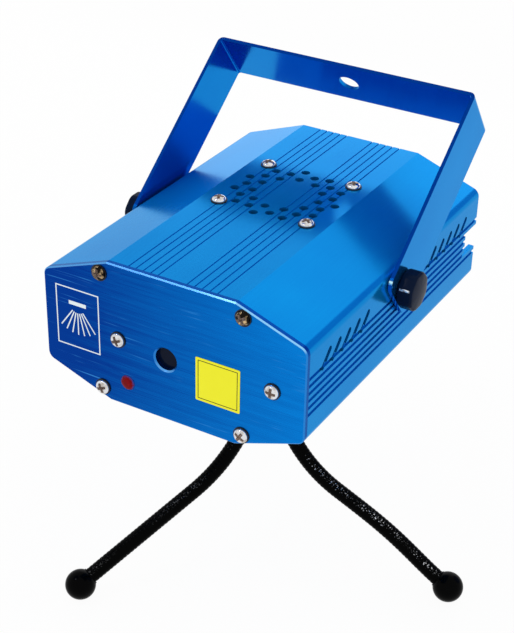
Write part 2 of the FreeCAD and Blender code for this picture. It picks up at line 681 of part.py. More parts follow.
def rear_panel():
    panel = body("rear_panel")
    outline = sketch(panel, "panel_outline", "XZ_Plane", PANEL_BACK)
    polygon(outline, octagon("wall + panel_gap"))
    pad(panel, outline, "panel_thick")
    holes = sketch(panel, "panel_holes", "XZ_Plane", PANEL_BACK)
    ports(holes, "rear_port_deep", SCREW_HOLE)
    circle(holes, "jack_x", "control_z", "jack_radius + fit_gap")
    circle(holes, "pot_x", "control_z", "pot_bush_radius + fit_gap")
    circle(holes, "0", "mic_z", "mic_hole")
    left = f"0 - {LEVER_SLOT_WIDE} / 2"
    low = f"control_z - {LEVER_SLOT_HIGH} / 2"
    rectangle(holes, left, low, LEVER_SLOT_WIDE, LEVER_SLOT_HIGH)
    pocket(panel, holes, None, 1)
    place(panel, z=MID_Z)


def front_pieces():
    screws = corner_screws("front_plate_screws", FRONT, 1, "port_deep", "screw_length")
    housed(screws, "front_plate_screws")
    pair = [screw(f"module_screw_{hand}", x, FRONT, "module_z", "y", 1, "module_screw_length")
            for hand, x in (("left", MODULE_LEFT), ("right", MODULE_RIGHT))]
    housed(group("module_screws", pair), "module_screws")
    lens = rod("led_lens", "led_radius", "plate_thick + led_dome",
               "led_x", f"{FRONT} - led_dome", "led_z", "y")
    collar = rod("led_rim", "led_collar", "led_collar_thick", "led_x", PLATE_BACK, "led_z", "y")
    tail = rod("led_stem", "led_radius", "led_tail", "led_x", PLATE_BACK, "led_z", "y")
    housed(fused("indicator_led", lens, collar, tail), "indicator_led")
    glass = rod("aperture_window", "window_radius", "window_thick", "beam_x", PLATE_BACK, "beam_z", "y")
    place(glass, "beam_x", PLATE_BACK, f"{MID_Z} + beam_z", (1, 0, 0), "-90")
    node(glass, "aperture_window")


def optical_bench():
    flange = box("bench_flange", "flange_left", PLATE_BACK, SHELF_FOOT, f"{FLANGE_RIGHT} - flange_left",
                 "flange_thick", f"flange_top - {SHELF_FOOT}")
    shelf = box("bench_shelf", "flange_left", PLATE_BACK, SHELF_FOOT, f"{FLANGE_RIGHT} - flange_left",
                "shelf_length", "shelf_thick")
    clip_half = "(motor_radius + motor_clip_wall)"
    clip = box("bench_clip", f"{WHEEL_X} - {clip_half}", f"{MOTOR_Y} + motor_clip_back", "shelf_top",
               f"2 * {clip_half}", "motor_clip_thick", f"beam_z + {clip_half} - shelf_top")
    solid = fused("bench_solid", flange, shelf, clip)
    deep = "flange_thick * 2"
    recess = rod("bench_recess", "window_radius + fit_gap", "window_thick",
                 "beam_x", PLATE_BACK, "beam_z", "y")
    beam = rod("bench_beam", "beam_radius", deep, "beam_x", PLATE_BACK, "beam_z", "y")
    left = rod("bench_left", SCREW_SEAT, deep, MODULE_LEFT, PLATE_BACK, "module_z", "y")
    right = rod("bench_right", SCREW_SEAT, deep, MODULE_RIGHT, PLATE_BACK, "module_z", "y")
    seat = rod("bench_seat", "motor_radius + fit_gap", "motor_length", WHEEL_X, MOTOR_Y, "beam_z", "y")
    half = "(wheel_radius + wheel_play)"
    gap = box("bench_wheel_gap", f"{WHEEL_X} - {half}", f"{WHEEL_Y} - wheel_play", f"beam_z - {half}",
              f"2 * {half}", "wheel_thick + 2 * wheel_play", f"2 * {half}")
    housed(without("optical_bench", solid, recess, beam, left, right, seat, gap), "optical_bench")


def laser_pieces():
    base = f"{PLATE_BACK} + green_back"
    tube = rod("green_tube", "laser_radius", "green_length", "beam_x", base, "beam_z", "y")
    tail = rod("green_tail", "tail_radius", "tail_length", "beam_x", f"{base} + green_length", "beam_z", "y")
    housed(fused("green_laser", tube, tail), "green_laser")
    block = box("green_solid", "beam_x - laser_block_half", f"{PLATE_BACK} + green_block_back", "shelf_top",
                "2 * laser_block_half", "green_block_length", "laser_block_rise")
    bore = rod("green_bore", "laser_radius + fit_gap", "green_length", "beam_x", base, "beam_z", "y")
    housed(without("green_laser_block", block, bore), "green_laser_block")
    middle = f"({PLATE_BACK} + combiner_back)"
    tube = rod("red_tube", "laser_radius", RED_LENGTH, "red_start", middle, "beam_z", "x")
    tail = rod("red_tail", "tail_radius", "tail_length", f"red_start + {RED_LENGTH}", middle, "beam_z", "x")
    housed(fused("red_laser", tube, tail), "red_laser")
    block = box("red_solid", "red_start + red_block_in", f"{middle} - laser_block_half", "shelf_top",
                f"{RED_LENGTH} - 2 * red_block_in", "2 * laser_block_half", "laser_block_rise")
    bore = rod("red_bore", "laser_radius + fit_gap", RED_LENGTH, "red_start", middle, "beam_z", "x")
    housed(without("red_laser_block", block, bore), "red_laser_block")
    glass = bind(doc.addObject("Part::Box", "beam_combiner"), Length="combiner_wide", Width="combiner_thick")
    bind(glass, Height="combiner_high")
    x = "beam_x - (combiner_wide - combiner_thick) / 2 * cos(45)"
    y = f"{middle} - (combiner_wide + combiner_thick) / 2 * cos(45)"
    place(glass, x, y, f"{MID_Z} + shelf_top", (0, 0, 1), "45")
    node(glass, "beam_combiner")


def grating_pieces():
    can = rod("motor_can", "motor_radius", "motor_length", WHEEL_X, MOTOR_Y, "beam_z", "y")
    bore = rod("motor_bore", "shaft_radius + fit_gap", "shaft_seat", WHEEL_X, MOTOR_Y, "beam_z", "y")
    housed(without("grating_motor", can, bore), "grating_motor")
    disc = rod("wheel_disc", "wheel_radius", "wheel_thick", WHEEL_X, WHEEL_Y, "beam_z", "y")
    through = "wheel_thick + wheel_boss_thick"
    boss = rod("wheel_boss", "wheel_boss_radius", through, WHEEL_X, WHEEL_Y, "beam_z", "y")
    eye = rod("wheel_eye", "shaft_radius + fit_gap", through, WHEEL_X, WHEEL_Y, "beam_z", "y")
    housed(without("grating_wheel", fused("wheel_solid", disc, boss), eye), "grating_wheel")
    shaft = rod("grating_shaft", "shaft_radius", f"{MOTOR_Y} - {WHEEL_Y} + shaft_seat",
                WHEEL_X, WHEEL_Y, "beam_z", "y")
    place(shaft, WHEEL_X, WHEEL_Y, f"{MID_Z} + beam_z", (1, 0, 0), "-90")
    node(shaft, "grating_shaft")


def fan_pieces():
    frame = body("fan_frame")
    outline = sketch(frame, "fan_outline", "XY_Plane", "0")
    rectangle(outline, "0 - fan_side / 2", "0 - fan_side / 2", "fan_side", "fan_side")
    block = pad(frame, outline, "fan_thick")

    def corner(edge):
        return near(edge.CenterOfMass.x, "fan_side / 2") and near(edge.CenterOfMass.y, "fan_side / 2")

    dressed(frame, "Fillet", block, corner, "Radius", "fan_corner")
    duct = sketch(frame, "fan_duct_hole", "XY_Plane", "0")
    circle(duct, "0", "0", FAN_DUCT)
    pocket(frame, duct, None, 1)
    strut = sketch(frame, "fan_strut", "XY_Plane", "0")
    length = f"2 * {FAN_DUCT} + fan_strut_wide"
    rectangle(strut, f"0 - ({length}) / 2", "0 - fan_strut_wide / 2", length, "fan_strut_wide")
    arm = pad(frame, strut, "fan_base_thick")
    ring_of(frame, arm, (part_of(frame, "Z_Axis"), [""]), "4")
    base = sketch(frame, "fan_base", "XY_Plane", "0")
    circle(base, "0", "0", "fan_base_radius")
    pad(frame, base, "fan_base_thick")
    holes = sketch(frame, "fan_frame_holes", "XY_Plane", "0")
    for x in (FAN_OUT, minus(FAN_OUT)):
        for y in (FAN_OUT, minus(FAN_OUT)):
            circle(holes, x, y, SCREW_HOLE)
    circle(holes, "0", "0", "fan_pin_radius + fit_gap")
    pocket(frame, holes, None, 1)
    place(frame, y=FAN_Y, z=f"{MID_Z} + {FAN_FOOT}")

    rotor = body("fan_rotor")
    low = "(fan_base_thick + fan_play)"
    hub = sketch(rotor, "rotor_hub", "XY_Plane", low)
    circle(hub, "0", "0", "rotor_hub_radius")
    pad(rotor, hub, "rotor_height")
    stem = sketch(rotor, "rotor_pin", "XY_Plane", low)
    circle(stem, "0", "0", "fan_pin_radius")
    pad(rotor, stem, "fan_play + fan_pin_length", -1)
    blade = sketch(rotor, "rotor_blade", "YZ_Plane", "rotor_hub_radius - blade_root")
    half = "blade_lean / 2"
    high = f"{low} + rotor_height"
    polygon(blade, [(f"0 - {half} - blade_thick / 2", low), (f"0 - {half} + blade_thick / 2", low),
                    (f"{half} + blade_thick / 2", high), (f"{half} - blade_thick / 2", high)])
    reach = f"sqrt(({FAN_DUCT} - fan_play) ^ 2 - ((blade_lean + blade_thick) / 2) ^ 2)"
    vane = pad(rotor, blade, f"{reach} - rotor_hub_radius + blade_root")
    ring_of(rotor, vane, (part_of(rotor, "Z_Axis"), [""]), "blade_count")
    place(rotor, y=FAN_Y, z=f"{MID_Z} + {FAN_FOOT}")

    sides = (FAN_OUT, minus(FAN_OUT))
    spots = [(x, f"{FAN_Y} + {y}") for x in sides for y in sides]
    length = "wall + fan_thick + nut_thick"
    screws = [screw(f"fan_screw_{i}", x, y, TOP, "z", -1, length) for i, (x, y) in enumerate(spots)]
    housed(group("fan_screws", screws), "fan_screws")
    nuts = []
    for i, (x, y) in enumerate(spots):
        hexagon = doc.addObject("Part::Prism", f"nut_{i}_hexagon")
        bind(hexagon, Circumradius="nut_radius", Height="nut_thick")
        place(hexagon, x, y, f"{FAN_FOOT} - nut_thick")
        bore = rod(f"nut_{i}_bore", SCREW_SEAT, "nut_thick", x, y, f"{FAN_FOOT} - nut_thick")
        nuts.append(without(f"nut_{i}", hexagon, bore))
    housed(group("fan_nuts", nuts), "fan_nuts")


def board_pieces():
    port_x = corner_spots("port_deep")[0][0]
    side = f"({port_x} - port_radius - board_beside)"
    slab = box("driver_board", minus(side), BOARD_FRONT, BOARD_FOOT,
               f"2 * {side}", "board_long", "board_thick")
    place(slab, minus(side), BOARD_FRONT, f"{MID_Z} + {BOARD_FOOT}")
    node(slab, "driver_board")
    rows = (f"{BOARD_FRONT} + standoff_in", f"{BOARD_FRONT} + board_long - standoff_in")
    spots = [(x, y) for x in (f"{side} - standoff_in", f"standoff_in - {side}") for y in rows]
    posts = [rod(f"standoff_{i}", "standoff_radius", f"{BOARD_FOOT} - {FLOOR}", x, y, FLOOR)
             for i, (x, y) in enumerate(spots)]
    housed(group("board_standoffs", posts), "board_standoffs")
    chip = box("chip", "0 - chip_side / 2", f"{BOARD_FRONT} + chip_back", BOARD_TOP,
               "chip_side", "chip_side", "chip_high")
    caps = [rod(f"capacitor_{i}", "cap_radius", "cap_high", x, f"{BOARD_FRONT} + cap_back", BOARD_TOP)
            for i, x in enumerate((f"{side} - cap_in", f"cap_in - {side}"))]
    housed(group("board_parts", [chip] + caps), "board_parts")


def rear_pieces():
    screws = corner_screws("rear_panel_screws", PANEL_FACE, -1, "rear_port_deep", "rear_screw_length")
    housed(screws, "rear_panel_screws")
    start = f"({PANEL_BACK} - jack_body_length)"
    face = f"({PANEL_FACE} + jack_nut_thick)"
    rear = rod("jack_rear", "jack_body_radius", "jack_body_length", "jack_x", start, "control_z", "y")
    barrel = rod("jack_barrel", "jack_radius", f"{face} - {start}", "jack_x", start, "control_z", "y")
    nut = rod("jack_nut", "jack_nut_radius", "jack_nut_thick", "jack_x", PANEL_FACE, "control_z", "y")
    solid = fused("jack_solid", rear, barrel, nut)
    bore = rod("jack_hole", "jack_bore", "jack_deep", "jack_x", f"{face} - jack_deep", "control_z", "y")
    hollow = without("jack_hollow", solid, bore)
    contact = rod("jack_pin", "jack_pin_radius", f"{face} - {start} - jack_pin_short",
                  "jack_x", start, "control_z", "y")
    housed(fused("dc_jack", hollow, contact), "dc_jack")

    block = box("switch_block", "0 - switch_wide / 2", f"{PANEL_BACK} - switch_deep",
                "control_z - switch_high / 2", "switch_wide", "switch_deep", "switch_high")
    channel = box("switch_slot", f"0 - {LEVER_SLOT_WIDE} / 2", f"{PANEL_BACK} - switch_channel",
                  f"control_z - {LEVER_SLOT_HIGH} / 2", LEVER_SLOT_WIDE, "switch_channel", LEVER_SLOT_HIGH)
    housed(without("switch_body", block, channel), "switch_body")
    lever = bind(doc.addObject("Part::Box", "switch_lever"), Length="lever_wide", Height="lever_high")
    bind(lever, Width="switch_channel - lever_play + panel_thick + lever_proud")
    place(lever, "0 - lever_wide / 2", f"{PANEL_BACK} - switch_channel + lever_play",
          f"{MID_Z} + control_z - lever_high / 2")
    node(lever, "switch_lever")

    block = box("pot_block", "pot_x - pot_side / 2", f"{PANEL_BACK} - pot_deep", "control_z - pot_side / 2",
                "pot_side", "pot_deep", "pot_side")
    bush = rod("pot_bush", "pot_bush_radius", "panel_thick + pot_nut_thick",
               "pot_x", PANEL_BACK, "control_z", "y")
    nut = rod("pot_nut", "pot_nut_radius", "pot_nut_thick", "pot_x", PANEL_FACE, "control_z", "y")
    shaft_start = f"({PANEL_BACK} - pot_shaft_seat)"
    bore = rod("pot_bore", "pot_shaft_radius + fit_gap", "pot_shaft_seat + panel_thick + pot_nut_thick",
               "pot_x", shaft_start, "control_z", "y")
    housed(without("speed_pot", fused("pot_solid", block, bush, nut), bore), "speed_pot")
    shaft = rod("pot_shaft", "pot_shaft_radius", f"{SPEED_Y} + speed_seat - {shaft_start}",
                "pot_x", shaft_start, "control_z", "y")
    place(shaft, "pot_x", shaft_start, f"{MID_Z} + control_z", (1, 0, 0), "-90")
    node(shaft, "pot_shaft")

    knob = body("speed_knob")
    disc = sketch(knob, "speed_disc", "XZ_Plane", "0")
    circle(disc, "0", "0", "speed_radius")
    solid = pad(knob, disc, "speed_thick")

    def outer_edge(edge):
        return abs(edge.CenterOfMass.y - number("speed_thick")) < 0.01

    dressed(knob, "Chamfer", solid, outer_edge, "Size", "speed_bevel")
    flute = sketch(knob, "speed_flute_hole", "XZ_Plane", "0")
    circle(flute, "speed_radius", "0", "speed_flute")
    first = pocket(knob, flute, None, 1)
    ring_of(knob, first, (part_of(knob, "Y_Axis"), [""]), "speed_flutes")
    seat = sketch(knob, "speed_seat_hole", "XZ_Plane", "0")
    circle(seat, "0", "0", "pot_shaft_radius + fit_gap")
    pocket(knob, seat, "speed_seat", 1)
    place(knob, "pot_x", SPEED_Y, f"{MID_Z} + control_z")

    capsule = rod("microphone", "mic_radius", "mic_length", "0", f"{PANEL_BACK} - mic_length", "mic_z", "y")
    place(capsule, "0", f"{PANEL_BACK} - mic_length", f"{MID_Z} + mic_z", (1, 0, 0), "-90")
    node(capsule, "microphone")


def bracket_pieces():
    strap = body("bracket_strap")
    outline = sketch(strap, "strap_outline", "XZ_Plane", "0 - strap_wide / 2")
    low = "(0 - strap_tail)"
    inner_top = "(strap_reach - strap_thick)"
    polygon(outline, [(minus(STRAP_OUT), low), (minus(STRAP_OUT), "strap_reach"), (STRAP_OUT, "strap_reach"),
                      (STRAP_OUT, low), (STRAP_IN, low), (STRAP_IN, inner_top),
                      (minus(STRAP_IN), inner_top), (minus(STRAP_IN), low)])
    bar = pad(strap, outline, "strap_wide")

    def bend(edge, x, z):
        return near(edge.CenterOfMass.x, x) and near(edge.CenterOfMass.z, z) and edge.BoundBox.YLength > 1

    outer = dressed(strap, "Fillet", bar, lambda e: bend(e, STRAP_OUT, "strap_reach"), "Radius", "strap_bend")
    inner = dressed(strap, "Fillet", outer, lambda e: bend(e, STRAP_IN, inner_top), "Radius",
                    "strap_bend - strap_thick")

    def tail_corner(edge):
        spot = edge.CenterOfMass
        at_foot = abs(spot.z - number(low)) < 0.01
        return at_foot and near(spot.y, "strap_wide / 2") and edge.BoundBox.YLength < 0.01

    dressed(strap, "Fillet", inner, tail_corner, "Radius", "strap_round")
    hang = sketch(strap, "hang_hole", "XY_Plane", "strap_reach")
    circle(hang, "0", "0", "hang_radius")
    pocket(strap, hang, "2 * strap_thick")
    eyes = sketch(strap, "pivot_eyes", "YZ_Plane", STRAP_OUT)
    circle(eyes, "0", "0", "stud_radius + stud_play")
    pocket(strap, eyes)
    place(strap, z=PIVOT_Z, axis=(1, 0, 0), angle="0 - bracket_lean")

    for hand, side in (("right", "0"), ("left", "180")):
        start = f"{STRAP_IN} - washer_thick"
        disc = rod(f"washer_{hand}_disc", "washer_radius", "washer_thick", start, "0", "0", "x")
        eye = rod(f"washer_{hand}_eye", "stud_radius + stud_play", "washer_thick", start, "0", "0", "x")
        washer = node(without(f"washer_{hand}", disc, eye), f"washer_{hand}")
        place(washer, z=PIVOT_Z, axis=(0, 0, 1), angle=side)
        insert_pieces(hand, side)
        knob_pieces(hand, side)


def insert_pieces(hand, side):
    start = f"{SIDE} - insert_length"
    barrel = rod(f"insert_{hand}_barrel", "insert_radius", "insert_length", start, "0", "0", "x")
    collar = rod(f"insert_{hand}_collar", "insert_collar_radius", "insert_collar_thick",
                 f"{SIDE} - wall - insert_collar_thick", "0", "0", "x")
    bore = rod(f"insert_{hand}_bore", "stud_radius + fit_gap", "insert_length", start, "0", "0", "x")
    solid = fused(f"insert_{hand}_solid", barrel, collar)
    insert = node(without(f"pivot_insert_{hand}", solid, bore), f"pivot_insert_{hand}")
    place(insert, z=PIVOT_Z, axis=(0, 0, 1), angle=side)


def knob_pieces(hand, side):
    knob = body(f"knob_{hand}")
    disc = sketch(knob, f"knob_{hand}_disc", "YZ_Plane", KNOB_X)
    circle(disc, "0", "0", "knob_radius")
    solid = pad(knob, disc, "knob_thick")

    def rim(edge):
        return edge.BoundBox.XLength < 0.01

    dressed(knob, "Chamfer", solid, rim, "Size", "knob_bevel")
    flute = sketch(knob, f"knob_{hand}_flute", "YZ_Plane", KNOB_X)
    circle(flute, "0", "knob_flute_out", "knob_flute")
    first = pocket(knob, flute, None, 1)
    ring_of(knob, first, (part_of(knob, "X_Axis"), [""]), "knob_flutes")
    seat = sketch(knob, f"knob_{hand}_seat", "YZ_Plane", KNOB_X)
    circle(seat, "0", "0", "stud_radius + fit_gap")
    pocket(knob, seat, "knob_seat", 1)
    place(knob, z=PIVOT_Z, axis=(0, 0, 1), angle=side)
    stud = body(f"knob_stud_{hand}")
    shank = sketch(stud, f"stud_{hand}_shank", "YZ_Plane", STUD_X)
    circle(shank, "0", "0", "stud_radius")
    pad(stud, shank, f"{KNOB_X} + knob_seat - {STUD_X}")
    place(stud, z=PIVOT_Z, axis=(0, 0, 1), angle=side)


def stand_pieces():
    barrel = rod("socket_barrel", "socket_radius", "wall + socket_collar_thick", "0", "0", f"0 - {TOP}")
    collar = rod("socket_collar", "socket_collar_radius", "socket_collar_thick", "0", "0", FLOOR)
    bore = rod("socket_bore", "thread_radius + fit_gap", "wall + socket_collar_thick", "0", "0", f"0 - {TOP}")
    housed(without("tripod_socket", fused("socket_solid", barrel, collar), bore), "tripod_socket")

    ring = body("lock_ring")
    disc = sketch(ring, "ring_disc", "XY_Plane", f"{RING_TOP} - ring_thick")
    circle(disc, "0", "0", "ring_radius")
    solid = pad(ring, disc, "ring_thick")

    def rim(edge):
        return edge.BoundBox.ZLength < 0.01

    dressed(ring, "Chamfer", solid, rim, "Size", "ring_bevel")
    flute = sketch(ring, "ring_flute_hole", "XY_Plane", f"{RING_TOP} - ring_thick")
    circle(flute, "ring_radius", "0", "ring_flute")
    first = pocket(ring, flute, None, 1)
    ring_of(ring, first, (part_of(ring, "Z_Axis"), [""]), "ring_flutes")
    eye = sketch(ring, "ring_eye", "XY_Plane", f"{RING_TOP} - ring_thick")
    circle(eye, "0", "0", "thread_radius + fit_gap")
    pocket(ring, eye, None, 1)
    place(ring)

    hub = body("tripod_hub")
    profile = sketch(hub, "hub_profile", "XZ_Plane", "0")
    neck = "hub_radius - hub_bevel"
    polygon(profile, [("0", HUB_FOOT), (neck, HUB_FOOT), ("hub_radius", f"{HUB_FOOT} + hub_bevel"),
                      ("hub_radius", f"{HUB_TOP} - hub_bevel"), (neck, HUB_TOP), ("0", HUB_TOP)])
    turned = hub.newObject("PartDesign::Revolution", "hub_turned")
    turned.Profile = profile
    turned.ReferenceAxis = (profile, ["V_Axis"])
    turned.Angle = 360
    doc.recompute()
    seat = sketch(hub, "hub_screw_seat", "XY_Plane", HUB_TOP)
    circle(seat, "0", "0", "thread_radius + fit_gap")
    pocket(hub, seat, "hub_seat")
    root = sketch(hub, "hub_leg_seat", "XY_Plane", HUB_FOOT)
    circle(root, "leg_root", "0", "leg_radius + fit_gap")
    first = pocket(hub, root, f"{LEG_TOP} - {HUB_FOOT}", 1)
    ring_of(hub, first, (part_of(hub, "Z_Axis"), [""]), "leg_count")
    place(hub, axis=(0, 0, 1), angle="leg_turn")

    low = f"({HUB_TOP} - hub_seat)"
    screw_rod = rod("tripod_screw", "thread_radius", f"stand_height + thread_in - {low}", "0", "0", low)
    node(screw_rod, "tripod_screw")

    for i in range(3):
        leg_pieces(i + 1, f"leg_turn + {i} * 360 / leg_count")


def leg_pieces(index, turn):
    leg = body(f"leg_{index}")
    path = sketch(leg, f"leg_{index}_path", "XZ_Plane", "0")
    root = V(number("leg_root"), number(LEG_TOP), 0)
    bend = V(number("leg_root"), number(BEND_Z), 0)
    middle = V(number(BEND_R), number(BEND_Z), 0)
    tip = V(number(TIP_R), number(TIP_Z), 0)
    sweep = math.radians(90 - number(LEG_SLOPE))
    arc = Part.ArcOfCircle(Part.Circle(middle, V(0, 0, 1), number("leg_bend")), math.pi, math.pi + sweep)
    path.addGeometry(Part.LineSegment(root, bend))
    path.addGeometry(arc)
    path.addGeometry(Part.LineSegment(arc.EndPoint, tip))
    path.addConstraint(Sketcher.Constraint("Tangent", 0, 2, 1, 1))
    path.addConstraint(Sketcher.Constraint("Tangent", 1, 2, 2, 1))
    pin(path, 1, 3, BEND_R, BEND_Z)
    radius_of(path, 1, "leg_bend")
    pin(path, 0, 1, "leg_root", LEG_TOP)
    pin(path, 2, 2, TIP_R, TIP_Z)
    ring = sketch(leg, f"leg_{index}_ring", "XY_Plane", LEG_TOP)
    circle(ring, "leg_root", "0", "leg_radius")
    doc.recompute()
    tube = leg.newObject("PartDesign::AdditivePipe", f"leg_{index}_tube")
    tube.Profile = ring
    tube.Spine = (path, ["Edge1", "Edge2", "Edge3"])
    doc.recompute()
    place(leg, axis=(0, 0, 1), angle=turn)

    ball = bind(doc.addObject("Part::Sphere", f"foot_{index}_ball"), Radius="foot_radius")
    place(ball, "foot_reach", "0", "foot_radius")
    bore = bind(doc.addObject("Part::Cylinder", f"foot_{index}_bore"), Radius="leg_radius + fit_gap")
    bind(bore, Height="2 * foot_radius")
    place(bore, TIP_R, "0", TIP_Z, (0, 1, 0), f"{LEG_SLOPE} - 90")
    foot = node(without(f"foot_{index}", ball, bore), f"foot_{index}")
    place(foot, axis=(0, 0, 1), angle=turn)


housing_shell()
front_plate()
rear_panel()
front_pieces()
optical_bench()
laser_pieces()
grating_pieces()
fan_pieces()
board_pieces()
rear_pieces()
bracket_pieces()
stand_pieces()
doc.recompute()

for item in doc.Objects:
    if {"Invalid", "Error"} & set(item.State):
        raise RuntimeError(f"{item.Label}: {item.State}")
os.makedirs("parts", exist_ok=True)
for item in nodes:
    if item.Shape.isNull() or not item.Shape.isValid() or not item.Shape.Solids:
        raise RuntimeError(f"{item.Label} has no sound shape")
    item.Shape.exportStep(f"parts/{item.Label}.step")
print(len(nodes), "nodes written")
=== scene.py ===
import json
import math

import bmesh
import bpy
from mathutils import Matrix, Vector


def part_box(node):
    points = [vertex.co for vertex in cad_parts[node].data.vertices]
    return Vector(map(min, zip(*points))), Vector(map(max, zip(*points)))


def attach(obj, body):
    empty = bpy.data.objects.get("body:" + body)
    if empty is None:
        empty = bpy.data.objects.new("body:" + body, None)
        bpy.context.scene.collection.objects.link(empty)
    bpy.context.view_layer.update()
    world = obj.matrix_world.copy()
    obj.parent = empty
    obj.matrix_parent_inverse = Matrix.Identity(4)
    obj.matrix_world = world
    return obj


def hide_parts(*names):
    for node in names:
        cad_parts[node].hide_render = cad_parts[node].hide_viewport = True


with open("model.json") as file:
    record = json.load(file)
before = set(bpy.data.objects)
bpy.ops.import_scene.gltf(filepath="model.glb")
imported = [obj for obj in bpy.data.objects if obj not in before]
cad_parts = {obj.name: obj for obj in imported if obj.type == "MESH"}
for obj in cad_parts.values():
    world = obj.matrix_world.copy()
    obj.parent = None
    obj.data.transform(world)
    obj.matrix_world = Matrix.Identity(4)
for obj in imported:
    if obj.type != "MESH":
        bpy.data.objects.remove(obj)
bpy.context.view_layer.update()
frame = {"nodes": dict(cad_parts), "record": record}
scene = bpy.context.scene

MM = 0.001
SMOOTH_ANGLE = math.radians(32)
LEFT = Vector((-1, 0, 0))
RIGHT = Vector((1, 0, 0))
FRONT = Vector((0, -1, 0))
BACK = Vector((0, 1, 0))
UP = Vector((0, 0, 1))

# Where the camera stands, which way it looks, and its lens and sensor in millimetres
CAMERA_PLACE = Vector((208.344, -373.141, 342.354)) * MM
CAMERA_AZIMUTH = math.radians(29.687)
CAMERA_ELEVATION = math.radians(30.528)
CAMERA_ROLL = math.radians(1.264)
CAMERA_LENS = 84.713
CAMERA_SENSOR = 36.0
CAMERA_NEAR = 10.0 * MM

# Pan head screws: a domed crown, whose two powers say how full it is, on a thin ring painted as the shadow
# round the head's foot
HEAD_RADIUS = 2.7 * MM
HEAD_HIGH = 1.6 * MM
HEAD_SIDES = 40
CROWN_RADIUS = 2.4 * MM
CROWN_STEPS = 12
CROWN_RISE = 0.9
CROWN_SPREAD = 0.8
SHADOW_RING_THICK = 0.35 * MM
SHANK_RADIUS = 1.45 * MM
SHANK_SIDES = 20
THREAD_PITCH = 0.5 * MM
THREAD_DEEP = 0.18 * MM

# The cross recess of a screw, which narrows to a share of its size at the bottom
CROSS_LONG = 4.0 * MM
CROSS_WIDE = 1.1 * MM
CROSS_DEEP = 1.2 * MM
CROSS_ABOVE = 0.2 * MM
CROSS_TAPER = 0.5

# The sets of screws with the way that their heads look, and how far each cross is turned, in radians
SCREW_SETS = {
    "front_plate_screws": FRONT,
    "module_screws": FRONT,
    "rear_panel_screws": BACK,
    "fan_screws": UP,
}
FIRST_SPIN = 0.4
SPIN_STEP = 1.1

# Thumb knobs: flats at a share of the radius, turned half a side, with rounded edges and a low crown.
# An arc is an edge's first and last angle in degrees and its steps, and a crown ring a share of the face
KNOB_SIDES = 8
KNOB_FLAT = 0.966
KNOB_SPIN = math.pi / KNOB_SIDES
KNOB_POINTS = 128
KNOB_EDGE = 0.8 * MM
KNOB_BACK_ARC = (-70, 0, 5)
KNOB_FACE_ARC = (0, 84, 7)
KNOB_CROWN = 0.35 * MM
KNOB_CROWN_RINGS = (0.8, 0.6, 0.4, 0.2, 0.0)

# Indicator lamp: a low lens with a flange behind the plate, and a rim painted as shade in the plate's blue
# at shares of the lens's radius
LAMP_LENS = 2.5 * MM
LAMP_FLANGE = 1.0 * MM
LAMP_STEPS = 8
LAMP_SIDES = 40
LAMP_RIM_STARTS = 0.72 * LAMP_LENS
LAMP_RIM_ENDS = 1.12 * LAMP_LENS
LAMP_RIM_WANDERS = 0.6 * LAMP_LENS

# Gooseneck legs: a bare root in the hub, a ribbed sleeve through one wide bend, and a straight run into the
# foot. The first leg has a slight second bow, late along its length
LEGS = (1, 2, 3)
LEG_RADIUS = 2.5 * MM
LEG_SLEEVE = 2.7 * MM
LEG_ROOT = 4.0 * MM
LEG_RISE = 0.652 * MM
LEG_BEND = 46.0 * MM
LEG_BOWS = {1: 2.0 * MM}
BOW_LATE = 2.1
LEG_SIDES = 24
RIB_PITCH = 1.5 * MM
RIB_DEEP = 0.1 * MM
RIB_STEPS = 8
RIB_SHARP = 3

# Ball feet with a thin collar. The middle of its rounded corner stands in by a share of the rounding
FOOT_SEAT = 3.0 * MM
BALL_SIDES = 48
BALL_STEPS = 24
COLLAR_RADIUS = 3.1 * MM
COLLAR_HIGH = 0.35 * MM
COLLAR_ROUND = 0.4 * COLLAR_HIGH
ROUND_MIDDLE = 0.3

# Printed square on the front plate, from the middle of the plate. In it are a bar and a fan of lines,
# at angles in degrees from straight down, that start and end so far from the bar's middle
PRINT_LEFT = -41.7 * MM
PRINT_RIGHT = -25.65 * MM
PRINT_LOW = -9.1 * MM
PRINT_HIGH = 11.75 * MM
PRINT_LINE = 0.4 * MM
PRINT_THICK = 0.03 * MM
BAR_DOWN = 5.2 * MM
BAR_LONG = 6.4 * MM
BAR_WIDE = 1.3 * MM
BEAM_ANGLES = (-36, -24, -12, 0, 12, 24, 36)
BEAM_START = 3.2 * MM
BEAM_END = 10.8 * MM

# Yellow sticker on the front plate, from the middle of the plate
STICKER_LEFT = 9.0 * MM
STICKER_RIGHT = 24.3 * MM
STICKER_LOW = -12.9 * MM
STICKER_HIGH = 2.1 * MM
STICKER_THICK = 0.12 * MM
STICKER_CORNER = 0.4 * MM
CORNER_STEPS = 6
STICKER_INSET = 0.8 * MM
STICKER_LINE = 0.22 * MM

# Marks on the back: dots round the speed knob, a line on its face between two shares of its radius,
# and the switch's thumb ridges, each of which rises over a share of its pitch
DOT_RADIUS = 0.35 * MM
DOT_SIDES = 12
DOT_ANGLES = range(-150, 151, 50)
DOTS_OFF_KNOB = 1.6 * MM
POINTER_WIDE = 0.6 * MM
POINTER_FROM = 0.3
POINTER_TO = 0.75
RIDGES = 4
RIDGE_DEEP = 0.35 * MM
RIDGE_RISE = 0.3

# Brush lines, bands, scratches and die lines are drawn out along one axis of the part
BRUSHED_X = (0.012, 1, 1)
BANDED_X = (0.006, 1, 1)
SCRATCHED_X = (0.016, 1, 1)
DRAWN_Y = (1, 0.012, 1)
NOISE_MIDDLE = 0.5

# Dyed metal keeps its blue where it is seen at a low angle. The plates' colour is painted lighter per metre
# towards +X, painted light that leaves them darker on the left
DYED_SHINE = 0.02
BLUE_GLANCE = (0.6, 0.88, 1.0, 1)
PAINTED_LIGHT_PER_METRE = 12.0
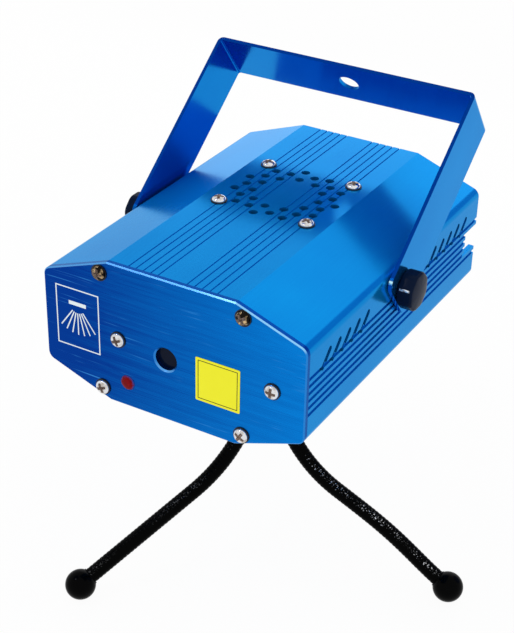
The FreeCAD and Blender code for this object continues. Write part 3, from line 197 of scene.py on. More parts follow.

# Which way some places look while the part is at rest: the strap's cut edge, the corners of its end and of a
# thumb knob where glints are painted, and the tops of the legs' ribs where glints are painted
STRAP_EDGE = (0, -0.615, 0.789)
STRAP_GLINT_CORNER = (0, -0.90, 0.436)
KNOB_GLINT_CORNER = (0, -0.924, 0.383)
LEG_SHINE = (0.15, -0.45, 0.88)

# How far to the right the painted highlights and glints start and are full. The legs' glint measure is the
# height plus so many times X
HIGHLIGHT_STARTS = 5.0 * MM
HIGHLIGHT_FULL = 30.0 * MM
LEG_GLINT_STARTS = 5.0 * MM
LEG_GLINT_FULL = 50.0 * MM
LEG_GLINT_SIDE = 1.2

# The room: how white the floor shows, how strong the walls' light is, and the blue cards that metal mirrors,
# each with its direction, the half angles in degrees where it is full and where it ends, and its depth
FLOOR_REACH = 4.0
FLOOR_PAPER = 0.9
FLOOR_WHITE = 0.95
ROOM_LEVEL = 0.86
CARD_BLUE = (0.10, 0.21, 0.64, 1)
CARDS = [((0.46, 0.76, 0.46), 17, 26, 0.8), ((-0.45, -0.20, 0.87), 12, 22, 0.8)]

# Soft boxes: where each stands, where it aims, its width and height in metres, and its level
SOFT_BOXES = {
    "key_box": ((-0.62, -0.61, 1.26), (0, 0, 0.1), 0.12, 0.12, 36.0),
    "back_box": ((-0.17, 0.45, 0.24), (-0.17, 0, 0.24), 0.55, 0.32, 0.55),
    "high_back_box": ((0.04, 0.75, 0.79), (0.04, 0, 0.12), 0.36, 0.40, 0.3),
}


class Wire:
    """A socket of a finish, so that shader sums are written as plain sums."""

    def __init__(self, finish, socket):
        self.finish = finish
        self.socket = socket

    def maths(self, operation, first, second):
        return self.finish.add("ShaderNodeMath", {"operation": operation}, {0: first, 1: second})

    def __add__(self, other):
        return self.maths("ADD", self, other)

    def __radd__(self, other):
        return self.maths("ADD", other, self)

    def __sub__(self, other):
        return self.maths("SUBTRACT", self, other)

    def __rsub__(self, other):
        return self.maths("SUBTRACT", other, self)

    def __mul__(self, other):
        return self.maths("MULTIPLY", self, other)

    def __rmul__(self, other):
        return self.maths("MULTIPLY", other, self)

    def sway(self, amount):
        """Noise about zero, up to half the amount either way."""
        return (self - NOISE_MIDDLE) * amount


class Finish:
    """The nodes of a procedural material or of the room, added one at a time."""

    def __init__(self, tree):
        self.tree = tree

    def feed(self, socket, value):
        if isinstance(value, Wire):
            self.tree.links.new(value.socket, socket)
        else:
            socket.default_value = value

    def add(self, kind, settings=None, sockets=None, out=0):
        made = self.tree.nodes.new(kind)
        for name, value in (settings or {}).items():
            setattr(made, name, value)
        for name, value in (sockets or {}).items():
            self.feed(made.inputs[name], value)
        return Wire(self, made.outputs[out])

    def mix(self, share, first, second):
        return self.add("ShaderNodeMix", {"data_type": "RGBA"}, {0: share, 6: first, 7: second}, 2)

    def vector(self, operation, first, second, out="Vector"):
        return self.add("ShaderNodeVectorMath", {"operation": operation}, {0: first, 1: second}, out)

    def clamp(self, value, low=0.0, high=1.0):
        return self.add("ShaderNodeClamp", {}, {"Value": value, "Min": low, "Max": high})

    def ramp(self, value, start, end):
        """0 before the start and 1 past the end, with a soft step between."""
        return self.add("ShaderNodeMapRange", {"interpolation_type": "SMOOTHSTEP"},
                        {"Value": value, "From Min": start, "From Max": end})

    def bump(self, height, depth, strength):
        return self.add("ShaderNodeBump", {}, {"Height": height, "Distance": depth, "Strength": strength})

    def spots(self):
        """The surface's own places, in the part's frame."""
        return self.add("ShaderNodeTexCoord", out="Object")

    def wavy_spots(self, scale, reach):
        """The surface's own places, pushed about by as much as the reach so that straight lines wander."""
        push = self.add("ShaderNodeTexNoise", {}, {"Vector": self.spots(), "Scale": scale}, "Color")
        centred = self.vector("SUBTRACT", push, [NOISE_MIDDLE] * 3)
        return self.vector("ADD", self.spots(), self.vector("MULTIPLY", centred, [reach] * 3))

    def noise(self, scale, detail, stretch=(1, 1, 1), spots=None):
        """Soft noise, its scale in features per metre, drawn out along the axes with a small stretch."""
        spot = self.add("ShaderNodeMapping", {}, {"Vector": spots or self.spots(), "Scale": stretch})
        return self.add("ShaderNodeTexNoise", {}, {"Vector": spot, "Scale": scale, "Detail": detail})

    def along(self, vector, axis):
        return self.add("ShaderNodeSeparateXYZ", {}, {"Vector": vector}, axis)

    def look(self):
        """The way the surface looks, in the part's frame."""
        return self.add("ShaderNodeTexCoord", out="Normal")

    def looks_to(self, direction):
        """1 where the surface looks in the direction, 0 where it is square to it, -1 where it looks away."""
        return self.vector("DOT_PRODUCT", self.look(), direction, "Value")

    def looks_along(self, direction):
        """1 where the surface looks along the direction, either way, and 0 where it is square to it."""
        return self.add("ShaderNodeMath", {"operation": "ABSOLUTE"}, {0: self.looks_to(direction)})

    def painted_glint_side(self):
        """1 on the part's right side, where the glints are painted, and 0 on its left."""
        return self.ramp(self.along(self.spots(), "X"), 0.0, HIGHLIGHT_STARTS)

    def ray_is(self, kind):
        return self.add("ShaderNodeLightPath", out=f"Is {kind} Ray")


def material(name, **values):
    """A new material and its finish, with the shader's plain values set on its sockets."""
    made = bpy.data.materials.new(name)
    made.use_nodes = True
    finish = Finish(made.node_tree)
    shade(finish, **values)
    return made, finish


def shade(finish, **values):
    """Sets or feeds the shader's sockets, which are named with _ for a space."""
    shader = finish.tree.nodes["Principled BSDF"]
    for name, value in values.items():
        finish.feed(shader.inputs[name.replace("_", " ")], value)


def rgb(red, green, blue):
    """A colour for a socket."""
    return (red, green, blue, 1)


def grey(level):
    """A colour with three like parts."""
    return rgb(level, level, level)


def times(colour, share):
    """A colour made brighter or darker."""
    return rgb(*[share * part for part in colour[:3]])


def middle(node):
    """The middle of a node's box."""
    low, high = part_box(node)
    return (low + high) / 2


def half_size(node, axis):
    """Half of a node's size along the axis."""
    low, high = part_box(node)
    return (getattr(high, axis) - getattr(low, axis)) / 2


def drawn_metal():
    """The dyed extrusion: cloudy dye and the faint lines that the die left along its length."""
    deep_dye = rgb(0.001, 0.185, 0.595)
    pale_dye = rgb(0.002, 0.29, 0.74)
    made, finish = material("blue_drawn_metal", Metallic=0.62, Specular_IOR_Level=DYED_SHINE,
                            Specular_Tint=BLUE_GLANCE)
    cloud = finish.noise(30, 2)
    line = finish.noise(2600, 4, DRAWN_Y)
    fine = finish.noise(9000, 2, DRAWN_Y)
    tone = finish.clamp(cloud * 0.8 + line * 0.4 + fine * 0.2 - 0.2)
    shade(finish, Base_Color=finish.mix(tone, deep_dye, pale_dye))
    shade(finish, Roughness=finish.clamp(0.17 + line.sway(0.08) + cloud.sway(0.06), 0.05, 0.6))
    shade(finish, Normal=finish.bump(line + fine * 0.5, depth=0.01 * MM, strength=0.12))
    return made


def brushed_metal():
    """The dyed plates: colour painted lighter to one side as painted light, wandering brush lines,
    scratches, paler bevels and a painted highlight on the bevels that look up.
    """
    deep_dye = rgb(0.001, 0.04, 0.30)
    pale_dye = rgb(0.002, 0.205, 0.68)
    scored_dye = rgb(0.05, 0.34, 0.82)
    edge_dye = rgb(0.001, 0.06, 0.36)
    bevel_dye = rgb(0.03, 0.24, 0.68)
    painted_highlight_blue = rgb(0.26, 0.62, 0.96)
    made, finish = material("blue_brushed_metal", Metallic=0.9, Specular_IOR_Level=DYED_SHINE,
                            Specular_Tint=BLUE_GLANCE)
    spots = finish.wavy_spots(26, 2.2 * MM)
    band = finish.noise(500, 3, BANDED_X, spots)
    line = finish.noise(2600, 4, BRUSHED_X, spots)
    fine = finish.noise(8000, 2, BRUSHED_X, spots)
    rubbed = finish.ramp(finish.noise(60, 2), 0.50, 0.68)
    scratch = finish.ramp(finish.noise(1500, 2, SCRATCHED_X, spots), 0.60, 0.70) * rubbed
    across = finish.along(finish.spots(), "X")
    # Painted light: the tone rises towards +X, darker on the left and lighter on the right
    tone = finish.clamp(0.40 + across * PAINTED_LIGHT_PER_METRE + band.sway(0.5) + line.sway(0.4) + fine.sway(0.3))
    dye = finish.mix(tone, deep_dye, pale_dye)
    scored = finish.mix(scratch * 0.6, dye, scored_dye)
    outward = finish.looks_along(FRONT)
    cut = finish.mix(finish.ramp(outward, 0.55, 0.35), scored, edge_dye)
    bevel = finish.ramp(outward, 0.95, 0.85) * finish.ramp(outward, 0.45, 0.6)
    dulled = finish.mix(bevel * 0.8, cut, bevel_dye)
    # Painted highlight: bevels that look up are painted pale, more so towards +X
    highlight_reach = 0.3 + 0.7 * finish.ramp(across, HIGHLIGHT_STARTS, HIGHLIGHT_FULL)
    worn = bevel * highlight_reach * finish.ramp(finish.along(finish.look(), "Z"), 0.2, 0.6)
    shade(finish, Base_Color=finish.mix(worn, dulled, painted_highlight_blue))
    shade(finish, Roughness=finish.clamp(0.27 + line.sway(0.2) - scratch * 0.06, 0.08, 0.6))
    shade(finish, Normal=finish.bump(line + fine * 0.5 + scratch, depth=0.02 * MM, strength=0.15))
    return made


def gloss_coat():
    """Blue gloss on the bent strap, with painted dark reflection on its cut edges, a coat's faint waves and
    a painted glint on one corner of its end.
    """
    deep_gloss = rgb(0.001, 0.175, 0.59)
    pale_gloss = rgb(0.002, 0.24, 0.70)
    dark_edge_reflection = rgb(0.001, 0.05, 0.28)
    painted_glint_blue = rgb(0.50, 0.86, 0.97)
    made, finish = material("blue_gloss", Metallic=0.9, Specular_IOR_Level=DYED_SHINE,
                            Specular_Tint=BLUE_GLANCE)
    cloud = finish.noise(45, 2)
    peel = finish.noise(1500, 2)
    speck = finish.noise(5200, 1)
    # Painted reflection: the cut edges are painted dark
    cut = finish.ramp(finish.looks_along(STRAP_EDGE), 0.6, 0.9)
    coat = finish.mix(cut * 0.8, finish.mix(cloud, deep_gloss, pale_gloss), dark_edge_reflection)
    # Painted glint: one corner of the strap's end is painted bright, on the right side only
    rubbed = finish.ramp(finish.looks_to(STRAP_GLINT_CORNER), 0.975, 0.995) * finish.painted_glint_side()
    shade(finish, Base_Color=finish.mix(rubbed, coat, painted_glint_blue))
    shade(finish, Roughness=finish.clamp(0.1 + peel * 0.08 + cloud * 0.06, 0.05, 0.6))
    shade(finish, Normal=finish.bump(peel + speck * 0.3, depth=0.03 * MM, strength=0.15))
    return made


def plated(name, colour, tarnish_and_glint, rough, clear=0.46):
    """Plated or bare metal with tool marks, and a second colour where its patches pass the clear level:
    tarnish on most metals and painted gold glints on the painted dark zinc.
    """
    made, finish = material(name, Metallic=1.0)
    patch = finish.noise(700, 3)
    mark = finish.noise(4200, 2)
    stain_and_glint = finish.clamp((patch - clear) * 4.0)
    shade(finish, Base_Color=finish.mix(stain_and_glint, colour, tarnish_and_glint))
    shade(finish, Roughness=finish.clamp(rough + mark.sway(0.2) + stain_and_glint * 0.12, 0.05, 0.9))
    shade(finish, Normal=finish.bump(mark, depth=0.02 * MM, strength=0.2))
    return made


def moulded(name, colour, worn, rough, grain, shine=0.25):
    """Moulded plastic with a fine sparked grain and slightly rubbed high spots."""
    made, finish = material(name, Specular_IOR_Level=shine)
    spark = finish.noise(5200, 2)
    patch = finish.noise(160, 3)
    rubbed = finish.clamp(patch.sway(2.4))
    shade(finish, Base_Color=finish.mix(rubbed, colour, worn))
    shade(finish, Roughness=finish.clamp(rough + spark.sway(0.16) + rubbed * 0.06, 0.05, 0.95))
    shade(finish, Normal=finish.bump(spark, depth=0.04 * MM, strength=grain))
    return made


def knob_plastic():
    """Smooth black plastic, with a painted glint along one corner of the right knob."""
    deep_black = rgb(0.002, 0.006, 0.020)
    pale_black = rgb(0.004, 0.012, 0.038)
    glint_grey = rgb(0.80, 0.84, 0.88)
    made, finish = material("knob_black", Specular_IOR_Level=0.03)
    spark = finish.noise(5200, 2)
    patchy = finish.ramp(finish.noise(420, 2), 0.36, 0.52)
    # Painted glint: one rounded corner of the right knob is painted bright and metallic
    bright = finish.ramp(finish.looks_to(KNOB_GLINT_CORNER), 0.9965, 0.9992) * patchy * finish.painted_glint_side()
    black = finish.mix(spark, deep_black, pale_black)
    shade(finish, Base_Color=finish.mix(bright, black, glint_grey), Metallic=bright)
    shade(finish, Roughness=finish.clamp(0.17 + spark.sway(0.12)))
    shade(finish, Normal=finish.bump(spark, depth=0.04 * MM, strength=0.05))
    return made


def gooseneck_sleeve():
    """Black sleeve with small painted glints where its ribs look up, fewer lower down and further to the
    left.
    """
    black = grey(0.001)
    glint_grey = rgb(0.80, 0.81, 0.83)
    made, finish = material("leg_black", Specular_IOR_Level=0.02)
    grain = finish.noise(1900, 2)
    patchy = finish.ramp(finish.noise(70, 1), 0.38, 0.62)
    upward = finish.ramp(finish.looks_to(LEG_SHINE), 0.86, 0.98)
    spots = finish.spots()
    side = finish.along(spots, "X") * LEG_GLINT_SIDE
    highlight_reach = finish.ramp(finish.along(spots, "Z") + side, LEG_GLINT_STARTS, LEG_GLINT_FULL)
    # Painted glints: rib tops that look up are painted bright and metallic
    glint = finish.ramp(grain, 0.56, 0.68) * upward * patchy * (0.1 + 0.9 * highlight_reach)
    shade(finish, Base_Color=finish.mix(glint, black, glint_grey), Metallic=glint)
    shade(finish, Roughness=finish.clamp(0.26 + grain.sway(0.2)))
    shade(finish, Normal=finish.bump(grain, depth=0.04 * MM, strength=0.2))
    return made


def sticker_vinyl():
    """Slightly cloudy yellow vinyl."""
    deep_yellow = rgb(0.96, 0.92, 0.006)
    pale_yellow = rgb(0.99, 0.96, 0.014)
    made, finish = material("yellow_vinyl", Specular_IOR_Level=0.3)
    cloud = finish.noise(220, 3)
    fleck = finish.noise(3600, 2)
    shade(finish, Base_Color=finish.mix(cloud, deep_yellow, pale_yellow))
    shade(finish, Roughness=finish.clamp(0.34 + fleck.sway(0.2)))
    shade(finish, Normal=finish.bump(cloud + fleck * 0.2, depth=0.05 * MM, strength=0.2))
    return made


def print_ink(name, colour):
    """Screen printed ink, thin in flecks."""
    made, finish = material(name, Specular_IOR_Level=0.2)
    fleck = finish.noise(2800, 3)
    thin = finish.clamp((fleck - 0.55) * 2.0)
    shade(finish, Base_Color=finish.mix(thin, colour, times(colour, 0.86)))
    shade(finish, Roughness=finish.clamp(0.5 + fleck.sway(0.3)))
    return made


def lamp_red():
    """The red indicator: dyed resin, its rim painted darker in the plate's blue as painted shade."""
    deep_red = rgb(0.11, 0.001, 0.002)
    pale_red = rgb(0.30, 0.003, 0.006)
    rim_shade_blue = rgb(0.012, 0.065, 0.34)
    made, finish = material("lamp_red", Specular_IOR_Level=0.06)
    swirl = finish.noise(900, 2)
    facet = finish.noise(2400, 1)
    resin = finish.mix(swirl, deep_red, pale_red)
    centre = middle("indicator_led")
    flat = finish.vector("MULTIPLY", finish.spots(), (1, 0, 1))
    off = finish.vector("DISTANCE", flat, (centre.x, 0, centre.z), "Value")
    # Painted shade: the lens's rim is painted darker in the plate's blue
    rim = finish.ramp(off + swirl.sway(LAMP_RIM_WANDERS), LAMP_RIM_STARTS, LAMP_RIM_ENDS)
    shade(finish, Base_Color=finish.mix(rim, resin, rim_shade_blue))
    shade(finish, Roughness=finish.clamp(0.18 + facet.sway(0.2)))
    return made


def dark_glass(name, colour):
    """Dark glass or film with a little haze."""
    made, finish = material(name, Specular_IOR_Level=0.06)
    haze = finish.noise(700, 3)
    shade(finish, Base_Color=finish.mix(haze, colour, times(colour, 2.0)))
    shade(finish, Roughness=finish.clamp(0.08 + haze * 0.12))
    return made


def circuit_board():
    """Green laminate with copper tracks under the mask."""
    mask_green = rgb(0.01, 0.09, 0.03)
    track_green = rgb(0.03, 0.17, 0.06)
    made, finish = material("green_laminate", Specular_IOR_Level=0.4)
    track = finish.add("ShaderNodeTexBrick", {"offset": 0.5}, {
        "Vector": finish.spots(), "Scale": 160.0, "Mortar Size": 0.03,
        "Color1": grey(0), "Color2": grey(0.15), "Mortar": grey(1)}, "Fac")
    weave = finish.noise(2500, 2)
    shade(finish, Base_Color=finish.mix(track, mask_green, track_green))
    shade(finish, Roughness=finish.clamp(0.3 + weave * 0.2))
    shade(finish, Normal=finish.bump(track, depth=0.03 * MM, strength=0.4))
    return made


FINISHES = {
    "blue_housing": drawn_metal(),
    "blue_plate": brushed_metal(),
    "blue_bracket": gloss_coat(),
    "zinc_screw": plated("zinc_plate", rgb(0.74, 0.75, 0.77), rgb(0.42, 0.35, 0.28), rough=0.12),
    "black_knob": knob_plastic(),
    "black_stand": moulded("hub_black", grey(0.003), grey(0.008), rough=0.4, grain=0.4, shine=0.12),
    "black_leg": gooseneck_sleeve(),
    "black_foot": moulded("foot_black", rgb(0.0005, 0.0005, 0.0006), rgb(0.001, 0.001, 0.0012),
                          rough=0.15, grain=0.04, shine=0.03),
    "red_lens": lamp_red(),
    "clear_glass": dark_glass("window_glass", rgb(0.0015, 0.004, 0.014)),
    "film": dark_glass("grating_film", rgb(0.05, 0.05, 0.06)),
    "brass_part": plated("brass", rgb(0.72, 0.50, 0.18), rgb(0.40, 0.24, 0.08), rough=0.28),
    "bare_alloy": plated("bare_alloy", rgb(0.70, 0.71, 0.72), grey(0.50), rough=0.36),
    "steel_part": plated("bright_steel", rgb(0.56, 0.57, 0.58), rgb(0.34, 0.32, 0.30), rough=0.26),
    "board": circuit_board(),
    "board_part": moulded("component_black", rgb(0.006, 0.006, 0.007), rgb(0.02, 0.02, 0.022),
                          rough=0.4, grain=0.3),
    "fan_black": moulded("fan_black", grey(0.006), grey(0.014), rough=0.42, grain=0.3),
    "socket_black": moulded("socket_black", rgb(0.006, 0.006, 0.007), rgb(0.015, 0.015, 0.016),
                            rough=0.34, grain=0.25),
}
YELLOW_VINYL = sticker_vinyl()
# Painted shade: the brownish dark of the cross recess
RECESS_SHADE = moulded("recess_painted_shade", rgb(0.28, 0.21, 0.18), rgb(0.58, 0.42, 0.33),
                      rough=0.4, grain=0.3, shine=0.3)
# Painted shadow: the dark ring round each head's foot
SHADOW_RING = moulded("painted_shadow_ring", rgb(0.008, 0.006, 0.005), rgb(0.04, 0.025, 0.014),
                      rough=0.4, grain=0.3, shine=0.3)
# Painted reflection: the upper front screws' heads are painted dark with gold glints
ZINC_PAINTED_DARK = plated("zinc_painted_dark", rgb(0.012, 0.009, 0.007), rgb(0.90, 0.64, 0.34), rough=0.12, clear=0.52)
WHITE_INK = print_ink("white_ink", rgb(0.87, 0.96, 0.99))
BLACK_INK = print_ink("black_ink", grey(0.006))
SCREW_FINISHES = [FINISHES["zinc_screw"], RECESS_SHADE, SHADOW_RING, ZINC_PAINTED_DARK]


def dress_nodes():
    """Every solid that keeps its own shape gets its finish."""
    for part in frame["record"]["subparts"]:
        solid = frame["nodes"][part["node"]]
        for holder in solid.material_slots:
            holder.material = FINISHES[part["material_slot"]]


def mesh_of(name, bm, finishes):
    """The mesh of a bmesh, which is used up, with its finishes."""
    mesh = bpy.data.meshes.new(name)
    bm.to_mesh(mesh)
    bm.free()
    for finish in finishes:
        mesh.materials.append(finish)
    return mesh


def new_object(name, data):
    """An object in the scene."""
    made = bpy.data.objects.new(name, data)
    scene.collection.objects.link(made)
    return made


def piece(name, bm, finishes, body, stands_for=()):
    """A finished piece in the part's own frame, riding on its body."""
    bmesh.ops.recalc_face_normals(bm, faces=bm.faces)
    mesh = mesh_of(name, bm, finishes)
    mesh.polygons.foreach_set("use_smooth", [True] * len(mesh.polygons))
    mesh.set_sharp_from_angle(angle=SMOOTH_ANGLE)
    made = new_object(name, mesh)
    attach(made, body)
    if stands_for:
        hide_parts(*stands_for)


def facing(spot, outward, spin=0.0):
    """A place whose Z axis looks outward from the spot."""
    look = outward.to_track_quat("Z", "Y").to_matrix().to_4x4()
    return Matrix.Translation(spot) @ look @ Matrix.Rotation(spin, 4, "Z")


def plain(radius, angle):
    """The reach of a round outline, which is the same at every angle."""
    return radius


def turn(bm, profile, sides, place, shape=plain):
    """Turns a profile of radius and height about the place's Z axis."""
    rings = []
    for radius, height in profile:
        count = sides if radius else 1
        ring = []
        for i in range(count):
            angle = 2 * math.pi * i / sides
            reach = shape(radius, angle)
            spot = Vector((reach * math.cos(angle), reach * math.sin(angle), height))
            ring.append(bm.verts.new(place @ spot))
        rings.append(ring)
    for low, high in zip(rings, rings[1:]):
        for i in range(sides):
            j = (i + 1) % sides
            corners = [low[i % len(low)], low[j % len(low)], high[j % len(high)], high[i % len(high)]]
            corners = list(dict.fromkeys(corners))
            if len(corners) > 2:
                bm.faces.new(corners)


def wall(bm, low, high):
    """The faces between two rings of points."""
    for i in range(len(low)):
        j = (i + 1) % len(low)
        bm.faces.new((low[i], low[j], high[j], high[i]))


def block(bm, low, high):
    """A closed block between two rings of points."""
    bm.faces.new(low)
    bm.faces.new(high)
    wall(bm, low, high)


def arc(radius, height, bend, start, end, steps):
    """Points of a profile along an arc, its angles in degrees from the outward direction."""
    angles = [math.radians(start + (end - start) * i / steps) for i in range(steps + 1)]
    return [(radius + bend * math.cos(a), height + bend * math.sin(a)) for a in angles]


def screw_blank(name, bm):
    """An object of the screw's finishes, to cut or to be cut."""
    bmesh.ops.recalc_face_normals(bm, faces=bm.faces)
    return new_object(name, mesh_of(name, bm, SCREW_FINISHES))


def cross_punch():
    """The tapered cross that is pressed into a head, its faces painted as shade in the recess colour."""
    long, wide = CROSS_LONG / 2, CROSS_WIDE / 2
    bm = bmesh.new()
    rings = []
    for high, share in ((HEAD_HIGH + CROSS_ABOVE, 1.0), (HEAD_HIGH - CROSS_DEEP, CROSS_TAPER)):
        ring = []
        for arm in range(4):
            turned = Matrix.Rotation(arm * math.pi / 2, 2)
            for corner in ((long, -wide), (long, wide), (wide, wide)):
                spot = turned @ Vector(corner) * share
                ring.append(bm.verts.new((spot.x, spot.y, high)))
        rings.append(ring)
    block(bm, *rings)
    for face in bm.faces:
        face.material_index = SCREW_FINISHES.index(RECESS_SHADE)
    return screw_blank("cross_punch", bm)


def pan_head():
    """The mesh of one pan head with its cross recess, on a thin ring painted as the shadow round its foot,
    seated at the origin.
    """
    profile = [(0, HEAD_HIGH)]
    for i in range(1, CROWN_STEPS + 1):
        lean = math.pi / 2 * i / CROWN_STEPS
        high = SHADOW_RING_THICK + (HEAD_HIGH - SHADOW_RING_THICK) * math.cos(lean) ** CROWN_RISE
        profile.append((CROWN_RADIUS * math.sin(lean) ** CROWN_SPREAD, high))
    profile += [(HEAD_RADIUS, SHADOW_RING_THICK), (HEAD_RADIUS, 0), (0, 0)]
    bm = bmesh.new()
    turn(bm, profile, HEAD_SIDES, Matrix.Identity(4))
    for face in bm.faces:
        # Painted shadow: the ring under the crown
        if face.calc_center_median().z <= SHADOW_RING_THICK:
            face.material_index = SCREW_FINISHES.index(SHADOW_RING)
    blank = screw_blank("pan_head", bm)
    punch = cross_punch()
    recess = blank.modifiers.new("recess", "BOOLEAN")
    recess.object = punch
    recess.solver = "EXACT"
    graph = bpy.context.evaluated_depsgraph_get()
    made = bpy.data.meshes.new_from_object(blank.evaluated_get(graph))
    for used in (blank, punch):
        bpy.data.objects.remove(used)
    return made


def add_screw(bm, head, place, length, painted_dark):
    """Adds one screw, its head bright, or painted dark with gold glints as a painted reflection."""
    top = head.copy()
    top.transform(place)
    for face in top.polygons:
        # Painted reflection: the upper screws' heads take the dark zinc with gold glints
        if painted_dark and not face.material_index:
            face.material_index = SCREW_FINISHES.index(ZINC_PAINTED_DARK)
    bm.from_mesh(top)
    bpy.data.meshes.remove(top)
    thread = [(0, 0)]
    for i in range(int(length / THREAD_PITCH)):
        thread.append((SHANK_RADIUS, -i * THREAD_PITCH))
        thread.append((SHANK_RADIUS - THREAD_DEEP, -(i + 0.5) * THREAD_PITCH))
    turn(bm, thread + [(0, -length)], SHANK_SIDES, place)


def screw_spots(low, high, seat, outward):
    """The screws' seats, at the corners of their box, or at its two ends where it is one head high."""
    spots = set()
    for x in (low.x + HEAD_RADIUS, high.x - HEAD_RADIUS):
        if outward.z:
            spots |= {(x, y, seat.z) for y in (low.y + HEAD_RADIUS, high.y - HEAD_RADIUS)}
        else:
            heights = (low.z + HEAD_RADIUS, high.z - HEAD_RADIUS)
            same = heights[1] - heights[0] < HEAD_RADIUS
            spots |= {(x, seat.y, z) for z in (heights[:1] if same else heights)}
    return sorted(spots)


def screws():
    """Every set of screws in its node's place. The upper two of the front plate are painted dark with gold
    glints, a painted reflection.
    """
    head = pan_head()
    for name, outward in SCREW_SETS.items():
        low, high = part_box(name)
        depth = (high - low).dot(Vector([abs(part) for part in outward]))
        outer = high if sum(outward) > 0 else low
        seat = outer - outward * HEAD_HIGH
        bm = bmesh.new()
        for i, spot in enumerate(screw_spots(low, high, seat, outward)):
            painted_dark = name == "front_plate_screws" and spot[2] > middle(name).z
            place = facing(Vector(spot), outward, FIRST_SPIN + SPIN_STEP * i)
            add_screw(bm, head, place, depth - HEAD_HIGH, painted_dark)
        piece(name + "_pan_head", bm, SCREW_FINISHES, "housing", [name])
    bpy.data.meshes.remove(head)


def faceted(radius, angle):
    """The reach of a thumb knob's outline: flats with rounded corners between them."""
    step = 2 * math.pi / KNOB_SIDES
    off = angle % step - step / 2
    return min(radius, radius * KNOB_FLAT / math.cos(off))


def knobs():
    """Eight-sided thumb knobs with rounded corners and edges and a slightly crowned face."""
    for hand, outward in (("left", LEFT), ("right", RIGHT)):
        node = f"knob_{hand}"
        low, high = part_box(node)
        inner = (low if outward.x > 0 else high).x
        edge = half_size(node, "z") - KNOB_EDGE
        face = high.x - low.x - KNOB_CROWN
        profile = [(0, 0), (edge, 0)] + arc(edge, KNOB_EDGE, KNOB_EDGE, *KNOB_BACK_ARC)
        profile += arc(edge, face - KNOB_EDGE, KNOB_EDGE, *KNOB_FACE_ARC)
        for share in KNOB_CROWN_RINGS:
            profile.append((edge * share, face + KNOB_CROWN * (1 - share ** 2)))
        spot = Vector((inner, middle(node).y, middle(node).z))
        bm = bmesh.new()
        turn(bm, profile, KNOB_POINTS, facing(spot, outward, KNOB_SPIN), faceted)
        piece(f"thumb_knob_{hand}", bm, [FINISHES["black_knob"]], f"{hand}_clamp", [node])


def indicator():
    """The indicator's low dome, its flange behind the plate and its body."""
    low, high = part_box("indicator_led")
    plate_face, plate_back = [corner.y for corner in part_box("front_plate")]
    proud = plate_face - low.y
    profile = [(0, proud)]
    for i in range(1, LAMP_STEPS + 1):
        lean = math.pi / 2 * i / LAMP_STEPS
        profile.append((LAMP_LENS * math.sin(lean), proud * math.cos(lean)))
    flange = half_size("indicator_led", "x")
    seat = plate_face - plate_back
    end = plate_face - high.y
    profile += [(LAMP_LENS, seat), (flange, seat), (flange, seat - LAMP_FLANGE)]
    profile += [(LAMP_LENS, seat - LAMP_FLANGE), (LAMP_LENS, end), (0, end)]
    centre = middle("indicator_led")
    bm = bmesh.new()
    turn(bm, profile, LAMP_SIDES, facing(Vector((centre.x, plate_face, centre.z)), FRONT))
    piece("indicator_dome", bm, [FINISHES["red_lens"]], "housing", ["indicator_led"])


def leg_line(index):
    """The leg's centre line: points with directions and the length past the hub, down to inside the foot."""
    foot = middle(f"foot_{index}")
    out = Vector((foot.x, foot.y, 0)).normalized()
    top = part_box(f"leg_{index}")[1].z
    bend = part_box("tripod_hub")[0].z + LEG_RISE
    across = math.hypot(foot.x, foot.y) - LEG_ROOT - LEG_BEND
    drop = bend - foot.z
    slope = math.atan2(drop, across) - math.asin(LEG_BEND / math.hypot(across, drop))
    swing = math.pi / 2 - slope
    tip = half_size(f"foot_{index}", "z") - FOOT_SEAT
    run = math.sqrt(across ** 2 + drop ** 2 - LEG_BEND ** 2) - tip
    stub = top - bend
    whole = stub + LEG_BEND * swing + run
    count = round(whole / RIB_PITCH * RIB_STEPS)
    points = []
    for i in range(count + 1):
        gone = whole * i / count
        turned = min(max(gone - stub, 0) / LEG_BEND, swing)
        past = max(gone - stub - LEG_BEND * swing, 0)
        lean = math.pi / 2 - turned
        flat = LEG_ROOT + LEG_BEND * (1 - math.cos(turned)) + past * math.cos(slope)
        high = top - min(gone, stub) - LEG_BEND * math.sin(turned) - past * math.sin(slope)
        ahead = out * math.cos(lean) - UP * math.sin(lean)
        lift = out * math.sin(lean) + UP * math.cos(lean)
        bow = LEG_BOWS.get(index, 0) * math.sin(math.pi * (gone / whole) ** BOW_LATE) ** 2
        points.append((out * flat + UP * high + lift * bow, ahead, gone - stub))
    return points


def legs():
    """Ribbed gooseneck legs, the ribs winding round them, and their feet."""
    for index in LEGS:
        points = leg_line(index)
        side = points[0][1].cross(points[-1][1]).normalized()
        bm = bmesh.new()
        rings = []
        for spot, ahead, shown in points:
            lift = side.cross(ahead)
            radius = LEG_SLEEVE if shown > LEG_RISE else LEG_RADIUS
            ring = []
            for i in range(LEG_SIDES):
                angle = 2 * math.pi * i / LEG_SIDES
                wave = 0.5 - 0.5 * math.cos(2 * math.pi * shown / RIB_PITCH - angle)
                reach = radius - RIB_DEEP * wave ** RIB_SHARP
                ring.append(bm.verts.new(spot + (side * math.cos(angle) + lift * math.sin(angle)) * reach))
            rings.append(ring)
        for low, high in zip(rings, rings[1:]):
            wall(bm, low, high)
        bm.faces.new(rings[0])
        bm.faces.new(rings[-1])
        piece(f"gooseneck_leg_{index}", bm, [FINISHES["black_leg"]], "stand", [f"leg_{index}"])
        ball_foot(index, points[-1][1])


